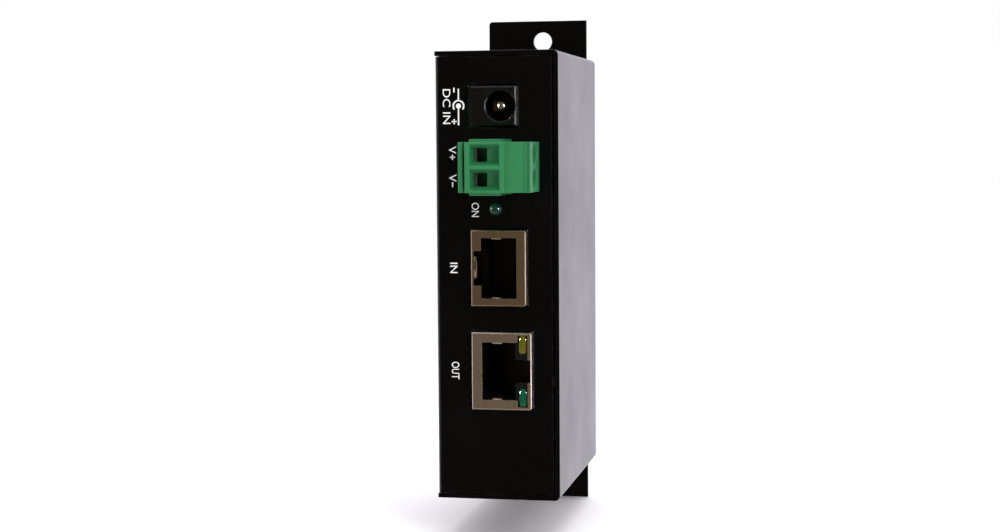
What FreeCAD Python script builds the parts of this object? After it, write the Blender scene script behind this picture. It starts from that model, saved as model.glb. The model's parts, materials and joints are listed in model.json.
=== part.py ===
"""PoE injector: folded steel box with a DC jack, a pluggable terminal block, a lamp and two
shielded network jacks on its front panel, two wall ears and a rail clip on its back.

Axes: +X right, +Y into the wall, +Z up. Origin: middle of the two wall holes, on the rear face.
All lengths are millimetres.
"""
import FreeCAD, Part
import os
import re
import Sketcher
from FreeCAD import Placement, Rotation, Vector

# ---------------------------------------------------------------------------------------------
# Sizes: name, millimetres, meaning
# ---------------------------------------------------------------------------------------------
SIZES = [
    # enclosure
    ("box_width", 26.4, "outside width of the box"),
    ("box_height", 95.0, "outside height of the box"),
    ("box_depth", 53.6, "front panel face to rear face"),
    ("wall", 1.0, "thickness of the folded steel"),
    ("bend_outer", 1.2, "outside radius of a fold"),
    ("bend_inner", 0.2, "inside radius of a fold"),
    ("lid_gap", 0.15, "gap between base and cover"),
    ("panel_gap", 0.35, "gap between the front panel and the right side of the cover"),
    ("ear_reach", 9.35, "height of a wall ear above the box"),
    ("ear_width", 23.35, "width of a wall ear"),
    ("ear_corner", 0.8, "corner radius of a wall ear"),
    ("wall_hole_spacing", 104.0, "distance between the two wall holes"),
    ("wall_hole_radius", 2.2, "wall holes"),
    ("wall_hole_shift", 0.9, "wall holes to the right of the middle of the box"),
    # tabs and cover screws
    ("tab_reach", 9.0, "screw tabs, measured from the left side"),
    ("tab_width", 10.0, "screw tabs, along the depth"),
    ("tab_front", 39.0, "front tabs in front of the rear face"),
    ("tab_rear", 13.0, "rear tabs in front of the rear face"),
    ("tab_hole", 6.2, "tab holes from the outside of the left side"),
    ("thread_radius", 1.5, "tapped M3 hole"),
    ("shank_radius", 1.45, "M3 screw shank"),
    ("clearance_radius", 1.6, "clearance hole for M3"),
    ("countersink_radius", 2.75, "head of a countersunk M3 screw"),
    ("cover_screw_length", 4.0, "overall length of a cover screw"),
    ("pan_head_radius", 2.75, "pan head of an M3 screw"),
    ("pan_head_height", 2.0, "pan head of an M3 screw"),
    ("slot_width", 0.8, "screwdriver slot"),
    ("slot_depth", 0.8, "screwdriver slot"),
    # circuit board
    ("board_thickness", 1.6, "circuit board"),
    ("board_height", 85.0, "circuit board"),
    ("board_length", 46.8, "circuit board along the depth"),
    ("board_front_gap", 0.8, "board edge to the inside of the front panel"),
    ("standoff_height", 5.2, "hexagonal pillars"),
    ("standoff_across", 5.0, "hexagonal pillars across the flats"),
    ("standoff_stud", 2.05, "radius of the clinched end"),
    ("board_screw_length", 4.0, "shank of a board screw"),
    ("tail_reach", 2.6, "soldered tails below the face of the board"),
    # DC jack, heights are above the board and depths are behind the panel face
    ("dc_z", 35.9, "middle of the DC jack above mid-height"),
    ("dc_height", 9.8, "DC jack body above the board"),
    ("dc_width", 8.4, "DC jack body"),
    ("dc_proud", 0.8, "DC jack in front of the panel"),
    ("dc_play", 0.4, "panel opening around the DC jack"),
    ("dc_open_low", 1.1, "panel opening below the board face, for the rim of the jack"),
    ("dc_length", 13.6, "DC jack behind the panel face"),
    ("dc_axis", 6.4, "bore axis above the board"),
    ("dc_bore", 3.15, "bore radius"),
    ("dc_bore_depth", 10.6, "bore behind the panel face"),
    ("dc_mouth", 0.35, "chamfer of the bore mouth"),
    ("dc_pin", 1.0, "centre pin radius"),
    ("dc_pin_tail", 0.75, "radius of the centre pin where it is held"),
    ("dc_rear", 15.0, "rear lugs of the DC jack behind the panel face"),
    ("lug", 0.4, "thickness of the rear lug"),
    ("dc_tail_half", 1.2, "half width of the two soldered tails"),
    ("dc_leaf", 0.3, "thickness of the spring leaf"),
    ("dc_leaf_rest", 0.85, "back of the spring leaf below the bore"),
    ("dc_leaf_rise", 0.9, "crest of the spring leaf above its back"),
    ("dc_leaf_crest", 5.4, "crest of the spring leaf behind the panel face"),
    ("dc_leaf_root", 8.0, "root of the spring leaf behind the panel face"),
    ("dc_leaf_tip", 2.8, "tip of the spring leaf behind the panel face"),
    ("dc_leaf_tail", 14.1, "tail of the spring leaf behind the panel face"),
    # pluggable terminal block
    ("plug_z", 23.15, "middle of the terminal block above mid-height"),
    ("pole_pitch", 5.08, "distance between the two poles"),
    ("plug_width", 10.4, "plug body along the height of the box"),
    ("plug_top", 14.6, "screw side of the plug above the board"),
    ("plug_bottom", -0.7, "wire side of the plug, below the board face"),
    ("plug_gap", 0.2, "plug shoulder in front of the panel"),
    ("entry_front", 11.5, "wire entry block in front of the panel"),
    ("entry_low", 1.0, "wire entry block, lower edge above the board"),
    ("entry_high", 9.2, "wire entry block, upper edge above the board"),
    ("screw_front", 10.5, "screw block in front of the panel"),
    ("rib_width", 11.6, "plug across its side ribs"),
    ("rib_low", 1.6, "side ribs, lower edge above the board"),
    ("rib_high", 8.1, "side ribs, upper edge above the board"),
    ("rib_setback", 0.7, "side ribs behind the front of the screw block"),
    ("groove_low", 1.65, "groove of the screw block, from its screw side"),
    ("groove_high", 0.45, "groove of the screw block, from its screw side"),
    ("groove_depth", 0.45, "groove of the screw block"),
    ("tongue_low", 1.4, "tongue above the board"),
    ("tongue_high", 7.4, "tongue above the board"),
    ("tongue_width", 9.3, "tongue along the height of the box"),
    ("tongue_length", 7.9, "tongue behind the panel face"),
    ("funnel_low", 2.0, "wire funnel, lower edge above the board"),
    ("funnel_high", 8.3, "wire funnel, upper edge above the board"),
    ("funnel_step", 1.1, "sloping side of the funnel towards the screw block"),
    ("funnel_half", 2.2, "wire funnel, half of its width"),
    ("funnel_depth", 2.5, "wire funnel"),
    ("wire_hole_low", 2.45, "wire hole, lower edge above the board"),
    ("wire_hole", 2.75, "side of the square wire hole"),
    ("header_height", 8.6, "header above the board"),
    ("header_width", 11.6, "header along the height of the box"),
    ("header_front", 0.2, "header mouth behind the panel face"),
    ("header_floor", 8.2, "header floor behind the panel face"),
    ("header_rear", 9.8, "header back behind the panel face"),
    ("header_wall", 1.0, "wall of the header"),
    ("pin_width", 1.0, "square header pins"),
    ("pin_axis", 4.2, "header pins above the board"),
    ("pin_tip", 1.1, "header pin tips behind the panel face"),
    ("cage_low", 2.35, "open clamp cage above the board"),
    ("cage_wall", 0.6, "bottom of the clamp cage"),
    ("cage_window", 3.55, "height of the clamp cage window"),
    ("cage_nut", 1.5, "threaded top of the clamp cage"),
    ("cage_half", 2.05, "half width of the clamp cage"),
    ("cage_window_half", 1.5, "half width of its window"),
    ("cage_length", 4.4, "clamp cage along the wire"),
    ("cage_axis", 5.8, "clamp screw axis in front of the panel"),
    ("cage_travel", 2.2, "climb of the clamp cage"),
    ("clamp_head_radius", 2.0, "clamp screw head"),
    ("clamp_head_height", 1.6, "clamp screw head"),
    ("clamp_seat", 11.5, "underside of the clamp screw head above the board"),
    ("bar_low", 5.45, "contact bar above the board"),
    ("bar_thickness", 0.8, "contact bar"),
    ("leaf", 0.5, "thickness of the contact leaves"),
    ("fork_half", 1.3, "half width of the contact bars"),
    ("fork_step", 0.6, "where the bars turn into leaves, behind the panel face"),
    ("fork_tip", 7.0, "tips of the leaves behind the panel face"),
    ("slide_gap", 0.05, "gap between sliding metal faces"),
    ("cavity_gap", 0.1, "room around the metal parts in the plug"),
    # lamp
    ("lamp_z", 14.2, "lamp above mid-height"),
    ("lamp_axis", 5.1, "lamp axis above the board"),
    ("lamp_radius", 1.5, "lamp"),
    ("lamp_flange", 1.9, "radius of the lamp flange"),
    ("lamp_proud", 1.0, "lamp tip in front of the panel"),
    ("lamp_rear", 4.6, "back of the lamp behind the panel face"),
    ("lamp_hole", 1.65, "radius of the panel hole"),
    ("lamp_lead", 0.5, "thickness of the square lamp leads"),
    ("lamp_lead_pitch", 2.54, "distance between the two lamp leads"),
    ("lamp_lead_bend", 1.7, "bend of the lamp leads behind the lamp"),
    ("holder_height", 7.6, "lamp holder above the board"),
    ("holder_width", 4.6, "lamp holder"),
    ("holder_front", 2.0, "lamp holder behind the panel face"),
    ("holder_rear", 5.2, "lamp holder behind the panel face"),
    # network jacks
    ("jack_proud", 1.5, "network jacks in front of the panel"),
    ("jack_rear", 19.5, "network jacks behind the panel face"),
    ("jack_play", 0.25, "panel openings around the network jacks"),
    ("jack_tail", 15.825, "contact tails of the network jacks behind the panel face"),
    ("leg_back", 9.5, "shield legs behind the panel face"),
    ("shield", 0.3, "thickness of the shield"),
    ("shield_corner", 0.6, "corner radius of the shield"),
    ("shield_leg", 1.5, "width of the shield legs"),
    ("finger_axis", 5.5, "spring fingers above the board"),
    ("finger_width", 2.1, "spring fingers at the opening"),
    ("finger_length", 6.0, "spring fingers at the opening"),
    ("finger_reach", 0.5, "spring fingers into the opening"),
    ("finger_crest", 1.0, "deepest point of the spring fingers behind the shield face"),
    ("finger_fold", 0.35, "radius of the fold in front of the spring fingers"),
    ("wire_width", 0.46, "contact wires"),
    ("wire_thick", 0.35, "contact wires"),
    ("wire_pitch", 1.02, "contact wires"),
    ("wire_rise", 2.8, "free end of a contact wire above its groove"),
    ("lan_z", 1.85, "LAN jack above mid-height"),
    ("lan_height", 11.8, "LAN jack above the board"),
    ("lan_width", 16.1, "LAN jack"),
    ("lan_low", 2.2, "LAN opening, lower edge above the board"),
    ("lan_high", 9.8, "LAN opening, upper edge above the board"),
    ("lan_opening", 12.75, "LAN opening"),
    ("lan_notch", 7.3, "width of the latch notch"),
    ("lan_notch_floor", 0.6, "latch notch floor above the board"),
    ("poe_z", -19.9, "PoE jack above mid-height"),
    ("poe_height", 12.9, "PoE jack above the board"),
    ("poe_width", 16.45, "PoE jack"),
    ("poe_low", 2.3, "PoE opening, lower edge above the board"),
    ("poe_high", 9.4, "PoE opening, upper edge above the board"),
    ("poe_opening", 12.2, "PoE opening"),
    ("poe_notch", 4.8, "width of the latch notch"),
    ("lamp_bar_low", 10.05, "jack lamps above the board"),
    ("lamp_bar_high", 11.9, "jack lamps above the board"),
    ("lamp_bar_edge", 7.6, "outer ends of the jack lamps from the middle of the jack"),
    ("lamp_bar_width", 3.9, "jack lamps along the height of the box"),
    ("lamp_bar_gap", 0.15, "shield opening around the jack lamps"),
    ("lamp_bar_length", 7.0, "jack lamps along the depth"),
    # rail clip
    ("clip_width", 18.0, "clip body"),
    ("clip_face", 12.0, "rail plane behind the rear face"),
    ("clip_back", 15.5, "back of the hooks behind the rear face"),
    ("clip_foot", 3.0, "thickness of the screwed foot"),
    ("rail_half", 17.7, "half of the 35 mm rail with play"),
    ("rail_grip", 2.2, "reach of the hooks behind the rail edge"),
    ("rail_edge", 1.2, "room for the rail edge"),
    ("clip_top", 21.0, "top of the clip above mid-height"),
    ("clip_end", 15.3, "bottom of the clip body below mid-height"),
    ("clip_foot_end", 23.0, "bottom of the foot below mid-height"),
    ("clip_screw_up", 14.5, "upper clip screw above mid-height"),
    ("clip_screw_down", 19.5, "lower clip screw below mid-height"),
    ("latch_half", 5.3, "half width of the latch"),
    ("latch_front", 7.0, "latch behind the rear face"),
    ("latch_rear", 11.0, "latch behind the rear face"),
    ("latch_top", 3.0, "top of the latch above mid-height"),
    ("latch_end", 27.0, "end of the release tab below mid-height"),
    ("latch_gap", 0.2, "play of the latch in its channel"),
    ("latch_window", 2.6, "half width of the spring window"),
    ("peg_top", 12.0, "spring seat below mid-height"),
    ("peg_height", 1.2, "spring seat"),
    ("coil_radius", 1.9, "mean radius of the coil spring"),
    ("coil_wire", 0.2, "radius of its wire"),
    ("coil_pitch", 1.6, "distance between its turns"),
    # components on the board
    ("solder_gap", 0.1, "space under a component"),
    ("can_gap", 0.4, "space under a capacitor"),
    ("input_can_radius", 5.0, "input capacitor"),
    ("input_can_height", 16.0, "input capacitor"),
    ("output_can_radius", 4.0, "output capacitor"),
    ("output_can_height", 15.0, "output capacitor"),
    ("core_width", 18.0, "transformer core along the height of the box"),
    ("core_length", 9.0, "transformer core along the depth"),
    ("core_height", 13.0, "transformer core"),
    ("core_leg", 2.4, "outer legs of the core"),
    ("core_middle", 4.8, "middle leg of the core"),
    ("coil_length", 15.0, "winding along the depth"),
]

# Places on the board: distance in front of the rear face, height above mid-height
BOARD_SCREWS = [(9.0, 38.5), (9.0, -38.5), (46.0, -38.5), (35.0, 38.5)]
TAB_SIDES = [(row, side) for row in ("tab_front", "tab_rear") for side in (1, -1)]
POLES = (1, -1)

doc = FreeCAD.newDocument("PoEInjector")
sheet = doc.addObject("Spreadsheet::Sheet", "Dims")
names = {name for name, _, _ in SIZES}
nodes = []


def fill_sheet():
    """Write every size into the spreadsheet under its own alias."""
    for row, (name, value, meaning) in enumerate(SIZES, start=1):
        sheet.set(f"A{row}", name)
        sheet.set(f"B{row}", str(value))
        sheet.set(f"C{row}", meaning)
        sheet.setAlias(f"B{row}", name)
    doc.recompute()


fill_sheet()


# ---------------------------------------------------------------------------------------------
# Helpers
# ---------------------------------------------------------------------------------------------
def sized(text):
    """Turn the size names in an expression into spreadsheet references."""
    return re.sub(r"[a-z][a-z_]+", lambda m: "Dims." + m[0] if m[0] in names else m[0], str(text))


def value(text):
    """Number that an expression of size names stands for."""
    return float(sheet.evalExpression(sized(text)))


def bind(thing, prop, text):
    thing.setExpression(prop, sized(text))


def place(thing, at):
    """Bind the position of an object to expressions of size names."""
    for axis, text in zip("xyz", at):
        bind(thing, f"Placement.Base.{axis}", text)
    return thing


def node(label, thing, at):
    """Name a finished sub-part and place it. The x of the box middle is moved to the wall holes."""
    place(thing, (f"{at[0]} - wall_hole_shift", at[1], at[2]))
    thing.Label = label
    nodes.append(thing)
    return thing


BOX = ("0", "0", "0")
BOARD_FACE = "(wall + standoff_height + board_thickness - box_width / 2)"


def behind_panel(height):
    """Frame of a front connector: x above the board, y behind the panel face, z from its middle."""
    return (BOARD_FACE, "-box_depth", height)


def on_board(back, height):
    """Frame of a component: on the board face, given in front of the rear face and above middle."""
    return (BOARD_FACE, f"-{back}", height)


# -- Part primitives --------------------------------------------------------------------------
def block(x, y, z):
    """Part::Box between the given pairs of coordinates."""
    box = doc.addObject("Part::Box", "Block")
    for (low, high), side in zip((x, y, z), ("Length", "Width", "Height")):
        bind(box, side, f"({high}) - ({low})")
    return place(box, (x[0], y[0], z[0]))


def rod(axis, start, radius, length, tip=None):
    """Part::Cylinder (or Part::Cone when a tip radius is given) from a start point along an axis."""
    turn = {"x": Rotation(Vector(0, 0, 1), Vector(1, 0, 0)),
            "y": Rotation(Vector(0, 0, 1), Vector(0, 1, 0)),
            "z": Rotation()}[axis]
    if tip is None:
        solid = doc.addObject("Part::Cylinder", "Rod")
        bind(solid, "Radius", radius)
    else:
        solid = doc.addObject("Part::Cone", "Taper")
        bind(solid, "Radius1", radius)
        bind(solid, "Radius2", tip)
    bind(solid, "Height", length)
    solid.Placement = Placement(Vector(), turn)
    return place(solid, start)


def join(pieces):
    fused = doc.addObject("Part::MultiFuse", "Join")
    fused.Shapes = pieces
    fused.Refine = True
    return fused


def cut(base, tools):
    result = doc.addObject("Part::Cut", "Cut")
    result.Base = base
    result.Tool = tools[0] if len(tools) == 1 else join(tools)
    return result


def group(pieces):
    """Several separate solids in one node."""
    result = doc.addObject("Part::Compound", "Group")
    result.Links = pieces
    return result


# -- PartDesign -------------------------------------------------------------------------------
def new_body(name):
    return doc.addObject("PartDesign::Body", name)


def origin_item(body, role):
    return next(item for item in body.Origin.OriginFeatures if item.Role == role)


def polygon(points):
    """Closed outline whose corners are bound to pairs of expressions."""
    def draw(sketch):
        first = sketch.GeometryCount
        spots = [Vector(value(a), value(b), 0) for a, b in points]
        for here, there in zip(spots, spots[1:] + spots[:1]):
            sketch.addGeometry(Part.LineSegment(here, there), False)
        for i, (a, b) in enumerate(points):
            following = first + (i + 1) % len(points)
            sketch.addConstraint(Sketcher.Constraint("Coincident", first + i, 2, following, 1))
            fix_point(sketch, first + i, 1, a, b)
    return draw


def rectangle(a, b):
    return polygon([(a[0], b[0]), (a[1], b[0]), (a[1], b[1]), (a[0], b[1])])


def circle(centre, radius):
    def draw(sketch):
        middle = Vector(value(centre[0]), value(centre[1]), 0)
        edge = sketch.addGeometry(Part.Circle(middle, Vector(0, 0, 1), value(radius)), False)
        fix_point(sketch, edge, 3, *centre)
        limit = sketch.addConstraint(Sketcher.Constraint("Radius", edge, value(radius)))
        bind(sketch, f"Constraints[{limit}]", radius)
    return draw


def fix_point(sketch, edge, corner, a, b):
    """Bind a sketch point to a pair of expressions, measured from the sketch origin."""
    for kind, text in (("DistanceX", a), ("DistanceY", b)):
        rule = Sketcher.Constraint(kind, -1, 1, edge, corner, value(text))
        index = sketch.addConstraint(rule)
        bind(sketch, f"Constraints[{index}]", text)


def sketch_at(body, plane, level, shapes):
    """Sketch on an origin plane of the body, moved along the plane's own normal."""
    sketch = body.newObject("Sketcher::SketchObject", "Sketch")
    sketch.AttachmentSupport = [(origin_item(body, plane), "")]
    sketch.MapMode = "FlatFace"
    bind(sketch, "AttachmentOffset.Base.z", level)
    for draw in shapes:
        draw(sketch)
    return sketch


def pad(body, plane, shapes, low, high):
    """Add material between two levels. XZ_Plane looks along -Y, so its level counts from there."""
    level = f"-({high})" if plane == "XZ_Plane" else low
    feature = body.newObject("PartDesign::Pad", "Pad")
    feature.Profile = sketch_at(body, plane, level, shapes)
    bind(feature, "Length", f"({high}) - ({low})")
    body.Tip = feature
    return feature


def pocket(body, plane, shapes, low, high):
    """Remove material between two levels."""
    level = f"-({low})" if plane == "XZ_Plane" else high
    feature = body.newObject("PartDesign::Pocket", "Pocket")
    feature.Profile = sketch_at(body, plane, level, shapes)
    bind(feature, "Length", f"({high}) - ({low})")
    body.Tip = feature
    return feature


def turned(name, points, axis="V_Axis"):
    """Body turned from a half outline in its XY plane, about its own Y (V_Axis) or X (H_Axis)."""
    body = new_body(name)
    feature = body.newObject("PartDesign::Revolution", "Turning")
    feature.Profile = sketch_at(body, "XY_Plane", "0", [polygon(points)])
    feature.ReferenceAxis = (feature.Profile[0], [axis])
    feature.Angle = 360
    body.Tip = feature
    return body


def row_of(body, feature, role, step, count):
    """Repeat a feature along an origin axis of its body."""
    pattern = body.newObject("PartDesign::LinearPattern", "Row")
    pattern.Originals = [feature]
    pattern.Direction = (origin_item(body, role), [""])
    bind(pattern, "Length", f"({step}) * {count - 1}")
    pattern.Occurrences = count
    body.Tip = pattern
    return pattern


def edges_along(shape, axis, spots):
    """Names of the straight edges parallel to an axis that pass through the given spots."""
    others = [i for i in range(3) if i != "xyz".index(axis)]
    found = []
    for number, edge in enumerate(shape.Edges, start=1):
        ends = [vertex.Point for vertex in edge.Vertexes]
        if len(ends) != 2:
            continue
        for spot in spots:
            target = [value(text) for text in spot]
            if all(abs(end[i] - goal) < 1e-4 for end in ends for i, goal in zip(others, target)):
                found.append(f"Edge{number}")
                break
    return found


def dress(body, kind, axis, spots, radius):
    """Fillet or chamfer the edges of the body that run along an axis through the given spots."""
    doc.recompute()
    base = body.Tip
    feature = body.newObject(f"PartDesign::{kind}", kind)
    feature.Base = (base, edges_along(base.Shape, axis, spots))
    bind(feature, "Radius" if kind == "Fillet" else "Size", radius)
    body.Tip = feature
    return feature


# ---------------------------------------------------------------------------------------------
# Enclosure
# ---------------------------------------------------------------------------------------------
LEFT = "-box_width / 2"
RIGHT = "box_width / 2"
FRONT = "-box_depth"
BASE_HALF = "box_height / 2 - wall - lid_gap"
PANEL_END = "box_width / 2 - wall - panel_gap"
EAR_LEFT = "bend_outer - box_width / 2"
EAR_RIGHT = "bend_outer + ear_width - box_width / 2"


def panel_openings():
    """Openings of the front panel, in X and Z of the box."""
    face = BOARD_FACE
    openings = [
        rectangle((f"{face} - dc_open_low", f"{face} + dc_height + dc_play"),
                  ("dc_z - dc_width / 2 - dc_play", "dc_z + dc_width / 2 + dc_play")),
        rectangle((f"{face} - 0.2", f"{face} + header_height + 0.2"),
                  ("plug_z - header_width / 2 - 0.2", "plug_z + header_width / 2 + 0.2")),
        circle((f"{face} + lamp_axis", "lamp_z"), "lamp_hole"),
    ]
    for jack in ("lan", "poe"):
        across = (f"{jack}_z - {jack}_width / 2 - jack_play",
                  f"{jack}_z + {jack}_width / 2 + jack_play")
        along = (f"{face} - jack_play", f"{face} + {jack}_height + jack_play")
        openings.append(rectangle(along, across))
    return openings


def base_chassis():
    """Front panel, left side and rear panel folded from one sheet, with ears and screw tabs."""
    body = new_body("Base")
    channel = polygon([
        (PANEL_END, FRONT), (PANEL_END, "wall - box_depth"),
        ("wall - box_width / 2", "wall - box_depth"), ("wall - box_width / 2", "-wall"),
        (EAR_RIGHT, "-wall"), (EAR_RIGHT, "0"), (LEFT, "0"), (LEFT, FRONT)])
    pad(body, "XY_Plane", [channel], f"-({BASE_HALF})", BASE_HALF)
    dress(body, "Fillet", "z", [(LEFT, FRONT), (LEFT, "0")], "bend_outer")
    dress(body, "Fillet", "z", [("wall - box_width / 2", "wall - box_depth"),
                                ("wall - box_width / 2", "-wall")], "bend_inner")
    ear_top = "box_height / 2 + ear_reach"
    pad(body, "XZ_Plane", [rectangle((EAR_LEFT, EAR_RIGHT), (f"-({ear_top})", ear_top))],
        "-wall", "0")
    dress(body, "Fillet", "y", [(EAR_LEFT, ear_top), (EAR_LEFT, f"-({ear_top})")], "ear_corner")
    for row, side in TAB_SIDES:
        inner, outer = f"{side} * ({BASE_HALF} - wall)", f"{side} * ({BASE_HALF})"
        low, high = (inner, outer) if side > 0 else (outer, inner)
        tab = rectangle((LEFT + " + wall / 2", "tab_reach - box_width / 2"),
                        (f"-{row} - tab_width / 2", f"-{row} + tab_width / 2"))
        pad(body, "XY_Plane", [tab], low, high)
        pocket(body, "XY_Plane", [circle((f"tab_hole {LEFT}", f"-{row}"), "thread_radius")],
               low, high)
    pocket(body, "XZ_Plane", panel_openings(), FRONT, "wall - box_depth")
    rear_holes = [circle(("wall_hole_shift", f"{side} * wall_hole_spacing / 2"), "wall_hole_radius")
                  for side in (1, -1)]
    rear_holes += [circle(("0", spot), "thread_radius")
                   for spot in ("clip_screw_up", "-clip_screw_down")]
    pocket(body, "XZ_Plane", rear_holes, "-wall", "0")
    clinch_holes = [circle((-back, height), "standoff_stud + 0.03")
                    for back, height in BOARD_SCREWS]
    pocket(body, "YZ_Plane", clinch_holes, LEFT, "wall - box_width / 2")
    node("base_chassis", body, BOX)


def cover():
    """Top, right side and bottom folded from one sheet, cut back at the rear for the ears."""
    body = new_body("Cover")
    top, inside = "box_height / 2", "box_height / 2 - wall"
    shell = polygon([
        (LEFT, top), (RIGHT, top), (RIGHT, f"-{top}"), (LEFT, f"-{top}"),
        (LEFT, f"-({inside})"), ("box_width / 2 - wall", f"-({inside})"),
        ("box_width / 2 - wall", inside), (LEFT, inside)])
    pad(body, "XZ_Plane", [shell], FRONT, "0")
    dress(body, "Fillet", "y", [(RIGHT, top), (RIGHT, f"-{top}")], "bend_outer")
    dress(body, "Fillet", "y", [("box_width / 2 - wall", inside),
                                ("box_width / 2 - wall", f"-({inside})")], "bend_inner")
    along = (LEFT, f"{EAR_RIGHT} + lid_gap")
    ear_slots = [rectangle(along, (inside, top)), rectangle(along, (f"-{top}", f"-({inside})"))]
    pocket(body, "XZ_Plane", ear_slots, "-wall - lid_gap", "0")
    tools = []
    for row, side in TAB_SIDES:
        start = (f"tab_hole {LEFT}", f"-{row}", f"{side} * box_height / 2")
        sink = rod("z", start, "countersink_radius", "wall", tip="clearance_radius")
        if side > 0:
            sink.Placement = Placement(sink.Placement.Base, Rotation(Vector(1, 0, 0), 180))
        tools.append(place(sink, start))
    node("cover", cut(body, tools), BOX)


def countersunk_screw(start, side):
    """Cover screw whose flat head lies flush in the cover, side 1 on top and -1 underneath."""
    turn = Rotation(Vector(1, 0, 0), 180 if side > 0 else 0)
    head = rod("z", BOX, "countersink_radius - slide_gap", "wall", tip="shank_radius")
    shank = rod("z", BOX, "shank_radius", "cover_screw_length")
    slot = block(("-slot_width / 2", "slot_width / 2"), ("-countersink_radius", "countersink_radius"),
                 ("-0.1", "slot_depth"))
    screw = cut(join([head, shank]), [slot])
    screw.Placement = Placement(Vector(), turn)
    return place(screw, start)


def cover_screws():
    screws = [countersunk_screw((f"tab_hole {LEFT}", f"-{row}", f"{side} * box_height / 2"), side)
              for row, side in TAB_SIDES]
    node("cover_screws", group(screws), BOX)


# ---------------------------------------------------------------------------------------------
# Circuit board and its supports
# ---------------------------------------------------------------------------------------------
BOARD_FRONT = "(wall + board_front_gap - box_depth)"


def board_holes():
    """Holes of the board, in Y and Z of the box."""
    holes = [circle((-back, height), "clearance_radius") for back, height in BOARD_SCREWS]
    for jack in ("lan", "poe"):
        for i in range(8):
            spot = f"{jack}_z + {i - 3.5} * wire_pitch"
            holes.append(circle(("jack_tail - box_depth", spot), "0.4"))
        for side in (1, -1):
            edge = f"{jack}_z + {side} * ({jack}_width / 2 - shield / 2)"
            holes.append(rectangle(("leg_back - shield_leg / 2 - 0.2 - box_depth",
                                    "leg_back + shield_leg / 2 + 0.2 - box_depth"),
                                   (f"{edge} - shield", f"{edge} + shield")))
    for side in POLES:
        holes.append(circle(("header_rear + 0.7 - box_depth", f"plug_z + {side} * pole_pitch / 2"),
                            "0.8"))
        holes.append(circle(("lamp_rear + lamp_lead_bend + lamp_lead / 2 - box_depth",
                             f"lamp_z + {side} * lamp_lead_pitch / 2"), "0.4"))
    for back in ("dc_leaf_tail - dc_leaf / 2", "dc_rear - lug / 2"):
        holes.append(rectangle((f"{back} - 0.3 - box_depth", f"{back} + 0.3 - box_depth"),
                               ("dc_z - dc_tail_half - 0.2", "dc_z + dc_tail_half + 0.2")))
    return holes


def circuit_board():
    body = new_body("Board")
    outline = rectangle((BOARD_FRONT, f"{BOARD_FRONT} + board_length"),
                        ("-board_height / 2", "board_height / 2"))
    pad(body, "YZ_Plane", [outline], "-board_thickness", "0")
    pocket(body, "YZ_Plane", board_holes(), "-board_thickness", "0")
    node("circuit_board", body, (BOARD_FACE, "0", "0"))


def standoff(back, height):
    """Clinched hexagonal pillar, threaded from its free end."""
    prism = doc.addObject("Part::Prism", "Hexagon")
    prism.Polygon = 6
    bind(prism, "Circumradius", "standoff_across / sqrt(3)")
    bind(prism, "Height", "standoff_height")
    prism.Placement = Placement(Vector(), Rotation(Vector(0, 0, 1), Vector(1, 0, 0)))
    stud = rod("x", ("-wall", "0", "0"), "standoff_stud", "wall")
    bore = rod("x", ("0.5", "0", "0"), "thread_radius", "standoff_height")
    return place(cut(join([prism, stud]), [bore]), ("wall - box_width / 2", -back, height))


def pan_head_screw(length):
    """Screw along +X, head at the positive side, origin under its head."""
    head = rod("x", BOX, "pan_head_radius", "pan_head_height", tip="pan_head_radius * 0.8")
    shank = rod("x", (f"-({length})", "0", "0"), "shank_radius", f"({length}) + 0.1")
    slot = block(("pan_head_height - slot_depth", "pan_head_height + 0.1"),
                 ("-slot_width / 2", "slot_width / 2"), ("-pan_head_radius", "pan_head_radius"))
    return cut(join([head, shank]), [slot])


def board_fixings():
    node("standoffs", group([standoff(*spot) for spot in BOARD_SCREWS]), BOX)
    screws = [place(pan_head_screw("board_screw_length + board_thickness"), ("0", -back, height))
              for back, height in BOARD_SCREWS]
    node("board_screws", group(screws), (f"{BOARD_FACE} + slide_gap / 2", "0", "0"))


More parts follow.
